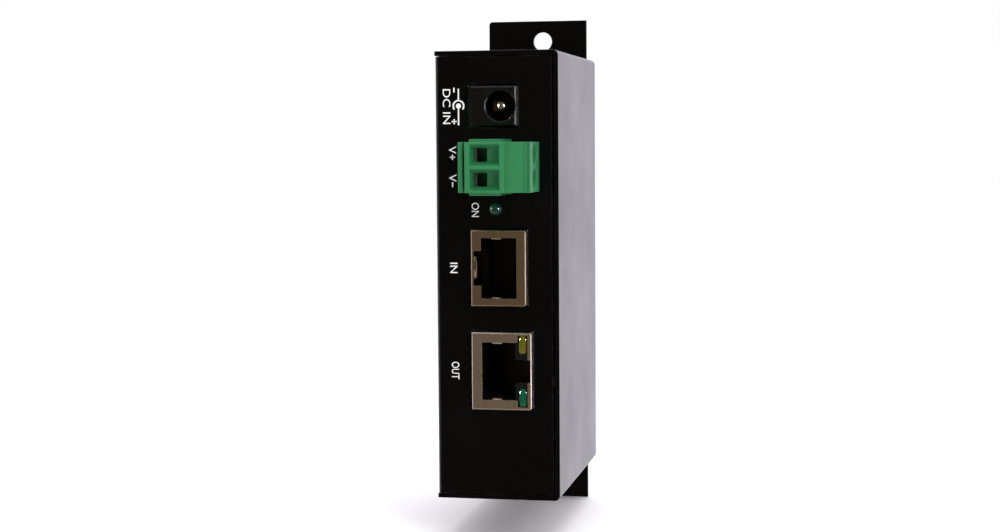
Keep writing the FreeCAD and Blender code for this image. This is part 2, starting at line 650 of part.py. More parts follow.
# ---------------------------------------------------------------------------------------------
# DC jack
# ---------------------------------------------------------------------------------------------
def dc_jack():
    half = "dc_width / 2"
    body = new_body("DcJack")
    pad(body, "XZ_Plane", [rectangle(("0", "dc_height"), (f"-{half}", half))],
        "-dc_proud", "dc_length")
    for axis, spots in (("x", [("-dc_proud", half), ("-dc_proud", f"-{half}")]),
                        ("z", [("dc_height", "-dc_proud")])):
        dress(body, "Chamfer", axis, spots, "0.4")
    pocket(body, "XZ_Plane", [circle(("dc_axis", "0"), "dc_bore")], "-dc_proud", "dc_bore_depth")
    pocket(body, "XZ_Plane", [circle(("dc_axis", "0"), "dc_pin_tail + 0.02")],
           "dc_bore_depth", "dc_length")
    slot_half = "dc_tail_half + cavity_gap"
    spring_slot = rectangle(("dc_axis - dc_bore - dc_leaf_rest - 0.15", "dc_axis - dc_bore + 0.6"),
                            (f"-({slot_half})", slot_half))
    pocket(body, "XZ_Plane", [spring_slot], "dc_leaf_tip - 1.2", "dc_length")
    mouth = rod("y", ("dc_axis", "-dc_proud", "0"), "dc_bore + dc_mouth", "dc_mouth",
                tip="dc_bore")
    node("dc_jack_body", cut(body, [mouth]), behind_panel("dc_z"))

    pin = turned("DcPin", [("0", "header_front"), ("dc_pin * 0.6", "header_front"),
                           ("dc_pin", "header_front + 0.5"), ("dc_pin", "dc_bore_depth"),
                           ("dc_pin_tail", "dc_bore_depth"), ("dc_pin_tail", "dc_rear"),
                           ("0", "dc_rear")])
    place(pin, ("dc_axis", "0", "0"))
    lug = block(("-tail_reach", "dc_axis + dc_tail_half"), ("dc_rear - lug", "dc_rear"),
                ("-dc_tail_half", "dc_tail_half"))
    node("dc_jack_pin", join([pin, lug]), behind_panel("dc_z"))

    low = "dc_axis - dc_bore - dc_leaf_rest"
    crest = f"{low} + dc_leaf_rise"
    inner_tail = "dc_leaf_tail - dc_leaf"
    spring = new_body("DcSpring")
    leaf = polygon([("-tail_reach", inner_tail), (low, inner_tail), (low, "dc_leaf_root"),
                    (crest, "dc_leaf_crest"), (f"{low} + 0.05", "dc_leaf_tip"),
                    (f"{low} + 0.05 + dc_leaf", "dc_leaf_tip - 0.1"),
                    (f"{crest} + dc_leaf", "dc_leaf_crest"),
                    (f"{low} + dc_leaf", "dc_leaf_root + 0.1"),
                    (f"{low} + dc_leaf", "dc_leaf_tail"), ("-tail_reach", "dc_leaf_tail")])
    pad(spring, "XY_Plane", [leaf], "-dc_tail_half", "dc_tail_half")
    node("dc_jack_spring", spring, behind_panel("dc_z"))


# ---------------------------------------------------------------------------------------------
# Terminal block: header on the board and plug with its clamps
# ---------------------------------------------------------------------------------------------
def header():
    half = "header_width / 2"
    body = new_body("Header")
    pad(body, "XZ_Plane", [rectangle(("0", "header_height"), (f"-{half}", half))],
        "header_front", "header_rear")
    pocket(body, "XZ_Plane", [rectangle(("header_wall + 0.2", "header_height - header_wall"),
                                        (f"header_wall - {half}", f"{half} - header_wall"))],
           "header_front", "header_floor")
    reach = "(pin_width / 2 + slide_gap)"
    windows = [rectangle((f"pin_axis - {reach}", f"pin_axis + {reach}"),
                         (f"{side} * pole_pitch / 2 - {reach}", f"{side} * pole_pitch / 2 + {reach}"))
               for side in POLES]
    pocket(body, "XZ_Plane", windows, "header_floor", "header_rear")
    node("header_body", body, behind_panel("plug_z"))

    pins = new_body("HeaderPins")
    side, leg = "pin_width / 2", "header_rear + 0.2"
    bent = polygon([(f"pin_axis - {side}", "pin_tip"), (f"pin_axis + {side}", "pin_tip"),
                    (f"pin_axis + {side}", f"{leg} + pin_width"),
                    ("-tail_reach", f"{leg} + pin_width"), ("-tail_reach", leg),
                    (f"pin_axis - {side}", leg)])
    first = pad(pins, "XY_Plane", [bent], f"-pole_pitch / 2 - {side}", f"-pole_pitch / 2 + {side}")
    row_of(pins, first, "Z_Axis", "pole_pitch", 2)
    node("header_pins", pins, behind_panel("plug_z"))


def plug_outline():
    """Side view of the plug: bottom ridge, wire entry block, screw block with its groove."""
    rear = "-plug_gap"
    lip, groove, floor = "plug_top - groove_high", "plug_top - groove_low", "groove_depth - screw_front"
    return polygon([
        ("plug_bottom", rear), ("plug_bottom", "-10"), ("plug_bottom + 1", "-10"),
        ("plug_bottom + 1", "-8.4"), ("entry_low", "-8.4"), ("entry_low", "-entry_front"),
        ("entry_high", "-entry_front"), ("entry_high", "-screw_front"), (groove, "-screw_front"),
        (groove, floor), (lip, floor), (lip, "-screw_front"),
        ("plug_top", "-screw_front"), ("plug_top", rear)])


def plug_cavities(body, pole):
    """Room for one clamp: cage, screw, contact bar, receptacle and pin window."""
    middle = f"{pole} * pole_pitch / 2"
    cage_back = "cage_length / 2 - cage_axis + cavity_gap"
    cage_front = "-cage_length / 2 - cage_axis - cavity_gap"

    def span(reach):
        return (f"{middle} - ({reach})", f"{middle} + ({reach})")

    pocket(body, "XZ_Plane", [rectangle(("wire_hole_low", "wire_hole_low + wire_hole"),
                                        span("wire_hole / 2"))],
           "-entry_front", cage_front)
    top = "cage_low + cage_wall + cage_window + cage_nut + cage_travel + cavity_gap * 3"
    pocket(body, "XZ_Plane", [rectangle(("cage_low - cavity_gap", top),
                                        span("cage_half + cavity_gap"))], cage_front, cage_back)
    bar = ("bar_low - slide_gap", "bar_low + bar_thickness + slide_gap")
    across = span("fork_half + cavity_gap")
    pocket(body, "XZ_Plane", [rectangle(bar, across)], cage_back, "fork_step + cavity_gap")
    leaves = ("pin_axis - pin_width / 2 - leaf - slide_gap * 3", bar[0])
    leaf_end = "fork_tip + slide_gap * 6"
    pocket(body, "XZ_Plane", [rectangle(leaves, across)], "-fork_step + cavity_gap", leaf_end)
    reach = "pin_width / 2 + slide_gap * 3"
    window = (f"pin_axis - ({reach})", f"pin_axis + {reach}")
    pocket(body, "XZ_Plane", [rectangle(window, span(reach))], leaf_end, "tongue_length")
    pocket(body, "YZ_Plane", [circle(("-cage_axis", middle), "clearance_radius")],
           "6", "clamp_seat")
    pocket(body, "YZ_Plane", [circle(("-cage_axis", middle), "clamp_head_radius + cavity_gap")],
           "clamp_seat", "plug_top")


def wire_funnel(pole):
    """Tapered entry of one wire with a flat floor beside the hole, as a tool."""
    wedge = doc.addObject("Part::Wedge", "Funnel")
    middle = f"{pole} * pole_pitch / 2"
    ends = {"Xmin": "funnel_low", "Xmax": "funnel_high",
            "Zmin": f"{middle} - funnel_half", "Zmax": f"{middle} + funnel_half",
            "X2min": "wire_hole_low", "X2max": "funnel_high - funnel_step",
            "Z2min": f"{middle} - wire_hole / 2", "Z2max": f"{middle} + wire_hole / 2",
            "Ymin": "-entry_front", "Ymax": "funnel_depth - entry_front"}
    for prop, text in ends.items():
        bind(wedge, prop, text)
    return wedge


def plug_housing():
    body = new_body("Plug")
    half = "plug_width / 2"
    pad(body, "XY_Plane", [plug_outline()], f"-{half}", half)
    pad(body, "XZ_Plane", [rectangle(("rib_low", "rib_high"), ("-rib_width / 2", "rib_width / 2"))],
        "rib_setback - screw_front", "-plug_gap")
    pad(body, "XZ_Plane", [rectangle(("tongue_low", "tongue_high"),
                                     ("-tongue_width / 2", "tongue_width / 2"))],
        "-plug_gap - 0.5", "tongue_length")
    for pole in POLES:
        plug_cavities(body, pole)
    node("plug_housing", cut(body, [wire_funnel(pole) for pole in POLES]), behind_panel("plug_z"))


def plug_contacts():
    """Contact bars that end in a two-leaf receptacle for the header pin."""
    body = new_body("PlugContacts")
    over = "pin_axis + pin_width / 2 + slide_gap"
    under = "pin_axis - pin_width / 2 - slide_gap"
    front, base = "-cage_axis - cage_length / 2", "cavity_gap * 2 - fork_step"
    step, tip = "fork_step", "fork_tip"
    fork = polygon([
        ("bar_low", front), ("bar_low + bar_thickness", front),
        ("bar_low + bar_thickness", step), (f"{over} + leaf", step), (f"{over} + leaf", tip),
        (over, tip), (over, step), (under, step), (under, tip), (f"{under} - leaf", tip),
        (f"{under} - leaf", base), ("bar_low", base)])
    first = pad(body, "XY_Plane", [fork], "-pole_pitch / 2 - fork_half",
                "-pole_pitch / 2 + fork_half")
    row_of(body, first, "Z_Axis", "pole_pitch", 2)
    node("plug_contacts", body, behind_panel("plug_z"))


def clamp(number, pole):
    """Cage and screw of one pole, drawn open. The cage climbs the screw."""
    cage = new_body(f"Cage{number}")
    top = "cage_wall + cage_window + cage_nut"
    pad(cage, "XZ_Plane", [rectangle(("0", top), ("-cage_half", "cage_half"))],
        "-cage_length / 2", "cage_length / 2")
    pocket(cage, "XZ_Plane", [rectangle(("cage_wall", "cage_wall + cage_window"),
                                        ("-cage_window_half", "cage_window_half"))],
           "-cage_length / 2", "cage_length / 2")
    pocket(cage, "YZ_Plane", [circle(("0", "0"), "thread_radius")], "cage_wall + cage_window", top)
    frame = behind_panel(f"plug_z + {pole} * pole_pitch / 2")
    node(f"clamp_cage_{number}", cage, (f"{frame[0]} + cage_low", f"{frame[1]} - cage_axis",
                                        frame[2]))
    seat, end = "0", "cage_low + cage_wall + cage_window - clamp_seat"
    screw = turned(f"ClampScrew{number}", [
        (end, "0"), (end, "shank_radius - 0.3"), (f"{end} + 0.3", "shank_radius"),
        (seat, "shank_radius"), (seat, "clamp_head_radius"),
        ("clamp_head_height - 0.2", "clamp_head_radius"),
        ("clamp_head_height", "clamp_head_radius - 0.2"), ("clamp_head_height", "0")], "H_Axis")
    pocket(screw, "YZ_Plane", [rectangle(("-clamp_head_radius", "clamp_head_radius"),
                                         ("-slot_width / 2", "slot_width / 2"))],
           "clamp_head_height - slot_depth", "clamp_head_height")
    node(f"clamp_screw_{number}", screw, (f"{frame[0]} + clamp_seat + slide_gap / 2",
                                          f"{frame[1]} - cage_axis", frame[2]))


# ---------------------------------------------------------------------------------------------
# Power lamp
# ---------------------------------------------------------------------------------------------
def power_lamp():
    dome = doc.addObject("Part::Sphere", "Dome")
    bind(dome, "Radius", "lamp_radius")
    place(dome, ("0", "lamp_radius - lamp_proud", "0"))
    barrel = rod("y", ("0", "lamp_radius - lamp_proud", "0"), "lamp_radius",
                 "lamp_rear - lamp_radius + lamp_proud")
    flange = rod("y", ("0", "lamp_rear - 1", "0"), "lamp_flange", "1")
    frame = behind_panel("lamp_z")
    at_axis = (f"{frame[0]} + lamp_axis", frame[1], frame[2])
    node("power_led", join([dome, barrel, flange]), at_axis)

    leads = new_body("LampLeads")
    side, end = "lamp_lead / 2", "-tail_reach - lamp_axis"
    near = "lamp_rear + lamp_lead_bend"
    far = f"{near} + lamp_lead"
    bent = polygon([(f"-{side}", "lamp_rear"), (f"-{side}", near), (end, near), (end, far),
                    (side, far), (side, "lamp_rear")])
    first = pad(leads, "XY_Plane", [bent], f"-lamp_lead_pitch / 2 - {side}",
                f"-lamp_lead_pitch / 2 + {side}")
    row_of(leads, first, "Z_Axis", "lamp_lead_pitch", 2)
    node("led_leads", leads, at_axis)

    half = "holder_width / 2"
    holder = new_body("LampHolder")
    pad(holder, "XZ_Plane", [rectangle(("0", "holder_height"), (f"-{half}", half))],
        "holder_front", "holder_rear")
    pocket(holder, "XZ_Plane", [circle(("lamp_axis", "0"), "lamp_radius + slide_gap")],
           "holder_front", "holder_rear")
    pocket(holder, "XZ_Plane", [circle(("lamp_axis", "0"), "lamp_flange + slide_gap")],
           "lamp_rear - 1 - slide_gap", "holder_rear")
    node("led_holder", holder, frame)


# ---------------------------------------------------------------------------------------------
# Network jacks
# ---------------------------------------------------------------------------------------------
def jack_opening(jack):
    """Outline of the opening of a jack with its latch notch, in X and Z of the jack."""
    half, notch = f"{jack}_opening / 2", f"{jack}_notch / 2"
    low, high = f"{jack}_low", f"{jack}_high"
    if jack == "lan":
        upper = [(high, half), (low, half), (low, notch), ("lan_notch_floor", notch)]
    else:
        near, far = "lamp_bar_low - lamp_bar_gap", "lamp_bar_high + lamp_bar_gap"
        upper = [(low, half), (near, half), (near, "lamp_bar_edge"), (far, "lamp_bar_edge"),
                 (far, notch), ("poe_height - shield", notch)]
    lower = [(along, f"-{across}") for along, across in reversed(upper)]
    return polygon(upper + lower)


def lamp_span(side, play="0"):
    """Extent of a jack lamp along the height of the box, side 1 above and -1 below."""
    outer = f"{side} * (lamp_bar_edge + {play})"
    inner = f"{side} * (lamp_bar_edge - lamp_bar_width - {play})"
    return (inner, outer) if side > 0 else (outer, inner)


def shield_finger(body, jack, side):
    """Spring finger folded in from one end of the opening."""
    edge = f"{side} * {jack}_opening / 2"
    front, back, crest = "-jack_proud", "finger_length - jack_proud", "finger_crest - jack_proud"
    fold = [(f"{front} + finger_fold * (1 - cos({turn}))",
             f"{edge} - {side} * finger_fold * sin({turn})") for turn in (0, 30, 60, 90)]
    bent = [(front, f"{edge} + {side} * shield")] + fold
    bent += [(crest, f"{edge} - {side} * finger_reach"),
             (back, f"{edge} - {side} * 0.1"), (back, f"{edge} + {side} * 0.15"),
             (crest, f"{edge} - {side} * (finger_reach - shield)"),
             ("shield - jack_proud", f"{edge} + {side} * 0.1"),
             ("shield - jack_proud", f"{edge} + {side} * shield")]
    pad(body, "YZ_Plane", [polygon(bent)], "finger_axis - finger_width / 2",
        "finger_axis + finger_width / 2")


def jack_shield(jack):
    half = f"{jack}_width / 2"
    top = f"{jack}_height"
    body = new_body(f"Shield_{jack}")
    pad(body, "XZ_Plane", [rectangle(("shield / 6", top), (f"-{half}", half))],
        "-jack_proud", "jack_rear")
    dress(body, "Fillet", "y", [(top, half), (top, f"-({half})")], "shield_corner")
    dress(body, "Chamfer", "z", [(top, "-jack_proud"), ("shield / 6", "-jack_proud")],
          "shield * 0.8")
    pocket(body, "XZ_Plane", [rectangle(("shield / 6 + shield", f"{top} - shield"),
                                        (f"shield - {half}", f"{half} - shield"))],
           "shield - jack_proud", "jack_rear - shield")
    pocket(body, "YZ_Plane", [rectangle(("13", "jack_rear - shield"),
                                        (f"shield - {half}", f"{half} - shield"))],
           "0", "shield * 1.5")
    pocket(body, "XZ_Plane", [jack_opening(jack)], "-jack_proud", "shield - jack_proud")
    for side in (1, -1):
        shield_finger(body, jack, side)
        edge = f"{side} * ({half} - shield / 2)"
        leg = rectangle(("leg_back - shield_leg / 2", "leg_back + shield_leg / 2"),
                        (f"{edge} - shield / 2", f"{edge} + shield / 2"))
        pad(body, "YZ_Plane", [leg], "-tail_reach", "1")
    if jack == "lan":
        strip = rectangle(("-jack_proud + 0.4", "5"), ("-2.75", "2.75"))
        pad(body, "YZ_Plane", [strip], "shield / 6", "lan_notch_floor - 0.1")
    node(f"{jack}_jack_shield", body, behind_panel(f"{jack}_z"))


def jack_housing(jack):
    """Insulating body of a jack with the plug cavity, wire grooves and lamp rooms."""
    inset = "shield * 1.2"
    half = f"({jack}_width / 2 - {inset})"
    body = new_body(f"Housing_{jack}")
    pad(body, "XZ_Plane", [rectangle((f"{inset} + shield / 6", f"{jack}_height - {inset}"),
                                     (f"-{half}", half))],
        f"{inset} - jack_proud", "15.2")
    cavity = rectangle((f"{jack}_low", f"{jack}_high"),
                       (f"-{jack}_opening / 2", f"{jack}_opening / 2"))
    pocket(body, "XZ_Plane", [cavity], "-jack_proud", "12")
    notch = ("shield / 6 + shield", "lan_low") if jack == "lan" else ("poe_high",
                                                                      "poe_height - shield")
    pocket(body, "XZ_Plane", [rectangle(notch, (f"-{jack}_notch / 2", f"{jack}_notch / 2"))],
           "-jack_proud", "7")
    for side in (1, -1):
        room = sorted_pair(f"{side} * {jack}_opening / 2", f"{side} * ({jack}_opening / 2 + 0.4)")
        relief = rectangle(("finger_axis - finger_width / 2 - 0.2",
                            "finger_axis + finger_width / 2 + 0.2"), room)
        pocket(body, "XZ_Plane", [relief], "-jack_proud", "finger_length")
    inner, outer = wire_levels(jack)
    grooves = []
    for i in range(8):
        spot = f"{i - 3.5} * wire_pitch"
        grooves.append(rectangle(sorted_pair(f"{outer[1]}", inner),
                                 (f"{spot} - wire_width / 2 - 0.05", f"{spot} + wire_width / 2 + 0.05")))
    pocket(body, "XZ_Plane", grooves, "0.4", "15.2")
    if jack == "poe":
        for side in (1, -1):
            pocket(body, "XZ_Plane", [rectangle(("lamp_bar_low - 0.05", "lamp_bar_high + 0.05"),
                                                lamp_span(side, "0.05"))],
                   "-jack_proud", "lamp_bar_length - jack_proud")
    node(f"{jack}_jack_housing", body, behind_panel(f"{jack}_z"))


def sorted_pair(a, b):
    return (a, b) if value(a) < value(b) else (b, a)


def wire_levels(jack):
    """Level of the wire side of the opening, and (wire, groove) levels beyond it."""
    if jack == "lan":
        return "lan_high", ("lan_high + 0.7", "lan_high + 0.75")
    return "poe_low", ("poe_low - 0.7", "poe_low - 0.75")


def jack_contacts(jack):
    """Eight sprung wires: groove run, bend at the front, free end rising into the cavity."""
    into = -1 if jack == "lan" else 1
    outer = wire_levels(jack)[1][0]
    inner = f"{outer} + {into} * wire_thick"
    near = f"jack_tail - {into} * wire_thick / 2"
    far = f"jack_tail + {into} * wire_thick / 2"
    body = new_body(f"Contacts_{jack}")
    wire = polygon([
        (outer, "0.6"), (outer, near), ("-tail_reach", near), ("-tail_reach", far), (inner, far),
        (inner, "1"), (f"{inner} + {into} * wire_rise", "9.6"),
        (f"{inner} + {into} * (wire_rise + wire_thick)", "9.48"),
        (f"{inner} + {into} * 0.25", "0.6")])
    start = "-3.5 * wire_pitch"
    first = pad(body, "XY_Plane", [wire], f"{start} - wire_width / 2", f"{start} + wire_width / 2")
    row_of(body, first, "Z_Axis", "wire_pitch", 8)
    node(f"{jack}_jack_contacts", body, behind_panel(f"{jack}_z"))


def jack_lamp(colour, side):
    """Bar-shaped lamp beside the latch notch, with a rounded front."""
    low, high = lamp_span(side)
    body = new_body(f"JackLamp_{colour}")
    pad(body, "XZ_Plane", [rectangle(("lamp_bar_low", "lamp_bar_high"), (low, high))],
        "-jack_proud", "lamp_bar_length - jack_proud - 0.1")
    dress(body, "Fillet", "x", [("-jack_proud", low), ("-jack_proud", high)], "0.8")
    node(f"poe_led_{colour}", body, behind_panel("poe_z"))


# ---------------------------------------------------------------------------------------------
# Rail clip
# ---------------------------------------------------------------------------------------------
def clip_body():
    body = new_body("ClipBody")
    hook_low = "rail_half - rail_grip"
    side_view = polygon([
        ("0", "-clip_foot_end"), ("clip_foot", "-clip_foot_end"), ("clip_foot", "-clip_end"),
        ("clip_face", "-clip_end"), ("clip_face", "rail_half"),
        ("clip_face + rail_edge", "rail_half"), ("clip_face + rail_edge", hook_low),
        ("clip_back", hook_low), ("clip_back", "clip_top - 2"), ("clip_back - 2", "clip_top"),
        ("0", "clip_top")])
    half = "clip_width / 2"
    pad(body, "YZ_Plane", [side_view], f"-{half}", half)
    channel_half = "latch_half + latch_gap"
    channel = rectangle((f"-({channel_half})", channel_half), ("-clip_end", "latch_top + latch_gap"))
    pocket(body, "XZ_Plane", [channel], "latch_front - 0.4", "latch_rear + latch_gap")
    peg = rectangle(("-latch_window + 0.2", "latch_window - 0.2"),
                    ("-peg_top - peg_height", "-peg_top"))
    pad(body, "XZ_Plane", [peg], "latch_front - 0.5", "latch_rear - 0.2")
    pocket(body, "XZ_Plane", [circle(("0", spot), "clearance_radius")
                              for spot in ("clip_screw_up", "-clip_screw_down")],
           "0", "clip_foot")
    pocket(body, "XZ_Plane", [circle(("0", "clip_screw_up"), "pan_head_radius + 0.3")],
           "clip_foot", "clip_back")
    node("rail_clip_body", body, BOX)


def clip_latch():
    """Slider with the lower hook, the spring window and a release tab."""
    hook_low, hook_high = "-rail_half - 3.3", "rail_grip - rail_half"
    body = new_body("ClipLatch")
    side_view = polygon([
        ("latch_front", "-latch_end"), ("latch_rear", "-latch_end"), ("latch_rear", hook_low),
        ("clip_back - 2.2", hook_low), ("clip_back", f"{hook_low} + 2.4"), ("clip_back", hook_high),
        ("clip_face + rail_edge", hook_high), ("clip_face + rail_edge", "-rail_half"),
        ("latch_rear", "-rail_half"), ("latch_rear", "latch_top"), ("latch_front", "latch_top")])
    pad(body, "YZ_Plane", [side_view], "-latch_half", "latch_half")
    window = rectangle(("-latch_window", "latch_window"), ("-peg_top - peg_height - 0.1", "0"))
    pocket(body, "XZ_Plane", [window], "latch_front", "latch_rear")
    tool_slot = rectangle(("-latch_window", "latch_window"), ("1.6 - latch_end", "3.2 - latch_end"))
    pocket(body, "XZ_Plane", [tool_slot], "latch_front", "latch_rear")
    node("rail_clip_latch", body, BOX)


def clip_spring():
    """Coil spring between the seat of the clip body and the top of the latch window."""
    helix = doc.addObject("Part::Helix", "Coil")
    bind(helix, "Radius", "coil_radius")
    bind(helix, "Pitch", "coil_pitch")
    bind(helix, "Height", "peg_top - coil_wire * 2")
    wire = doc.addObject("Part::RegularPolygon", "Wire")
    wire.Polygon = 8
    bind(wire, "Circumradius", "coil_wire")
    wire.Placement = Placement(Vector(), Rotation(Vector(1, 0, 0), 90))
    place(wire, ("coil_radius", "0", "0"))
    sweep = doc.addObject("Part::Sweep", "Spring")
    sweep.Sections = [wire]
    sweep.Spine = (helix, ["Edge1"])
    sweep.Solid = True
    sweep.Frenet = True
    node("rail_clip_spring", sweep, ("0", "(latch_front + latch_rear) / 2", "coil_wire - peg_top"))


def clip_screws():
    screws = []
    for spot in ("clip_screw_up", "-clip_screw_down"):
        screw = pan_head_screw("clip_foot + wall + 1.4")
        screw.Placement = Placement(Vector(), Rotation(Vector(0, 0, 1), 90))
        screws.append(place(screw, ("0", "clip_foot + slide_gap / 2", spot)))
    node("rail_clip_screws", group(screws), BOX)


# ---------------------------------------------------------------------------------------------
# Components on the board
# ---------------------------------------------------------------------------------------------
def capacitor(label, size, spot):
    """Upright electrolytic capacitor with its crimped groove."""
    radius, height = f"{size}_can_radius", f"{size}_can_height"
    can = turned(f"Can_{size}", [
        ("can_gap", "0"), ("can_gap", f"{radius} - 0.5"), ("can_gap + 0.5", radius),
        ("can_gap + 1.2", radius), ("can_gap + 1.6", f"{radius} - 0.4"),
        ("can_gap + 2.2", f"{radius} - 0.4"), ("can_gap + 2.6", radius),
        (f"{height} + can_gap - 0.4", radius), (f"{height} + can_gap", f"{radius} - 0.4"),
        (f"{height} + can_gap", "0")], "H_Axis")
    node(label, can, on_board(*spot))


def chip(label, spot, size):
    """Moulded package on the board: length along the depth, width along the height, thickness."""
    length, width, thick = size
    body = new_body(label)
    pad(body, "YZ_Plane", [rectangle((-length / 2, length / 2), (-width / 2, width / 2))],
        "solder_gap", thick)
    dress(body, "Chamfer", "z", [(thick, length / 2), (thick, -length / 2)], "0.3")
    node(label, body, on_board(*spot))


def chip_leads(label, spot, package, count, pitch):
    """Two rows of gull-wing leads beside a package."""
    length, _, thick = package
    start, foot, level = length / 2, length / 2 + 1.3, thick / 2
    bent = [(level, start), (level, start + 0.6), (0.2, start + 0.6), (0.2, foot), (0, foot),
            (0, start + 0.4), (level - 0.2, start + 0.4), (level - 0.2, start)]
    body = new_body(label)
    low = -(count - 1) * pitch / 2 - 0.2
    sides = [polygon([(x, side * y) for x, y in bent]) for side in (1, -1)]
    first = pad(body, "XY_Plane", sides, low, low + 0.4)
    row_of(body, first, "Z_Axis", pitch, count)
    node(label, body, on_board(*spot))


def transformer(spot):
    """Ferrite core around a wound bobbin."""
    half, length = "core_width / 2", "core_length / 2"
    core = new_body("Core")
    base = "1.2"
    top = f"{base} + core_height"
    pad(core, "XZ_Plane", [rectangle((base, top), (f"-{half}", half))], f"-{length}", length)
    window_high = f"{top} - core_leg"
    windows = [rectangle((f"{base} + core_leg", window_high),
                         sorted_pair(f"{side} * core_middle / 2", f"{side} * ({half} - core_leg)"))
               for side in (1, -1)]
    pocket(core, "XZ_Plane", windows, f"-{length}", length)
    node("transformer_core", core, on_board(*spot))

    reach = "coil_length / 2"
    gap = 0.1
    slot = (f"{base} + core_leg + {gap}", f"{window_high} - {gap}")
    bobbin = new_body("Bobbin")
    wide = f"{half} - core_leg - {gap}"
    pad(bobbin, "XZ_Plane", [rectangle(slot, (f"-({wide})", wide))], f"-{reach}", reach)
    middle = f"core_middle / 2 + {gap}"
    pocket(bobbin, "XZ_Plane", [rectangle(slot, (f"-({middle})", middle))], f"-{length} - {gap}",
           f"{length} + {gap}")
    cheek = "0.8"
    for side in (1, -1):
        across = sorted_pair(f"{side} * ({middle} + 0.5)", f"{side} * ({wide} + 0.1)")
        pocket(bobbin, "XZ_Plane", [rectangle((f"{slot[0]} + 0.6", f"{slot[1]} - 0.6"), across)],
               f"{cheek} - {reach}", f"{reach} - {cheek}")
    node("transformer_bobbin", bobbin, on_board(*spot))

    winding = new_body("Winding")
    inside = f"{middle} + 0.55"
    for_sides = [rectangle((f"{slot[0]} + 0.65", f"{slot[1]} - 0.65"),
                           sorted_pair(f"{side} * ({inside})", f"{side} * ({wide} - 0.2)"))
                 for side in (1, -1)]
    pad(winding, "XZ_Plane", for_sides, f"{cheek} + 0.05 - {reach}", f"{reach} - {cheek} - 0.05")
    node("transformer_winding", winding, on_board(*spot))


def chip_parts(label, size, spots):
    """Small two-terminal parts: all of one kind in one node."""
    length, width, thick = size
    parts = [block(("solder_gap / 2", thick), (-back - length / 2, -back + length / 2),
                   (height - width / 2, height + width / 2)) for back, height in spots]
    node(label, group(parts), (BOARD_FACE, "0", "0"))


MAGNETICS = (9.0, 12.8, 5.4)
CONTROLLER = (3.9, 4.9, 1.6)


def components():
    capacitor("input_capacitor", "input", (26.0, 24.0))
    capacitor("output_capacitor", "output", (13.0, -27.0))
    transformer((17.5, 3.0))
    chip("data_magnetics", (24.5, -16.0), MAGNETICS)
    chip_leads("magnetics_leads", (24.5, -16.0), MAGNETICS, 12, 1.0)
    chip("controller_chip", (28.5, 6.0), CONTROLLER)
    chip_leads("controller_leads", (28.5, 6.0), CONTROLLER, 4, 1.27)
    chip("power_transistor", (13.0, 19.0), (6.0, 6.6, 2.3))
    chip("rectifier_diode", (13.0, -14.5), (6.8, 6.0, 2.3))
    chip("input_fuse", (34.0, 26.0), (3.0, 6.1, 2.4))
    chip_parts("chip_resistors", (1.2, 2.0, 0.6),
               [(30.0, 13.0), (30.0, 1.0)]
               + [(9.0 + 2.6 * i, 28.5) for i in range(4)]
               + [(24.0 + 2.6 * i, -36.5) for i in range(4)])
    chip_parts("chip_capacitors", (1.3, 2.0, 1.2),
               [(9.0 + 2.6 * i, 32.0) for i in range(4)]
               + [(24.0 + 2.6 * i, -33.0) for i in range(4)])


# ---------------------------------------------------------------------------------------------
# Build, check and write
# ---------------------------------------------------------------------------------------------
def build():
    base_chassis()
    cover()
    cover_screws()
    circuit_board()
    board_fixings()
    dc_jack()
    header()
    plug_housing()
    plug_contacts()
    for number, pole in enumerate(POLES, start=1):
        clamp(number, pole)
    power_lamp()
    for jack in ("lan", "poe"):
        jack_shield(jack)
        jack_housing(jack)
        jack_contacts(jack)
    jack_lamp("yellow", 1)
    jack_lamp("green", -1)
    clip_body()
    clip_latch()
    clip_spring()
    clip_screws()
    components()
    doc.recompute()


def check():
    """Stop when an object failed, a sub-part is empty, or a pocket removed nothing."""
    for item in doc.Objects:
        if "Invalid" in item.State or "Error" in item.State:
            raise RuntimeError(f"{item.Name} ({item.Label}) is {item.State}")
        if hasattr(item, "Shape") and not item.Shape.isNull() and not item.Shape.isValid():
            raise RuntimeError(f"{item.Name} has an invalid shape")
        if item.TypeId == "PartDesign::Pocket":
            before = item.BaseFeature.Shape.Volume
            if before - item.Shape.Volume < 1e-3:
                raise RuntimeError(f"{item.Name} removes nothing")
    for item in nodes:
        if item.Shape.isNull() or not item.Shape.isValid():
            raise RuntimeError(f"{item.Label} has no valid shape")


def write():
    os.makedirs("parts", exist_ok=True)
    for item in nodes:
        item.Shape.exportStep(f"parts/{item.Label}.step")


build()
check()
write()
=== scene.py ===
"""Looks of the PoE injector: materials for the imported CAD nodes, printed legends, lamps, springs,
studio and camera. Lengths are metres unless a name ends in _mm or a comment says that they are
millimetres. Axes are those of the CAD model.
"""

import json
import math

import bmesh
import bpy
from mathutils import Matrix, Vector


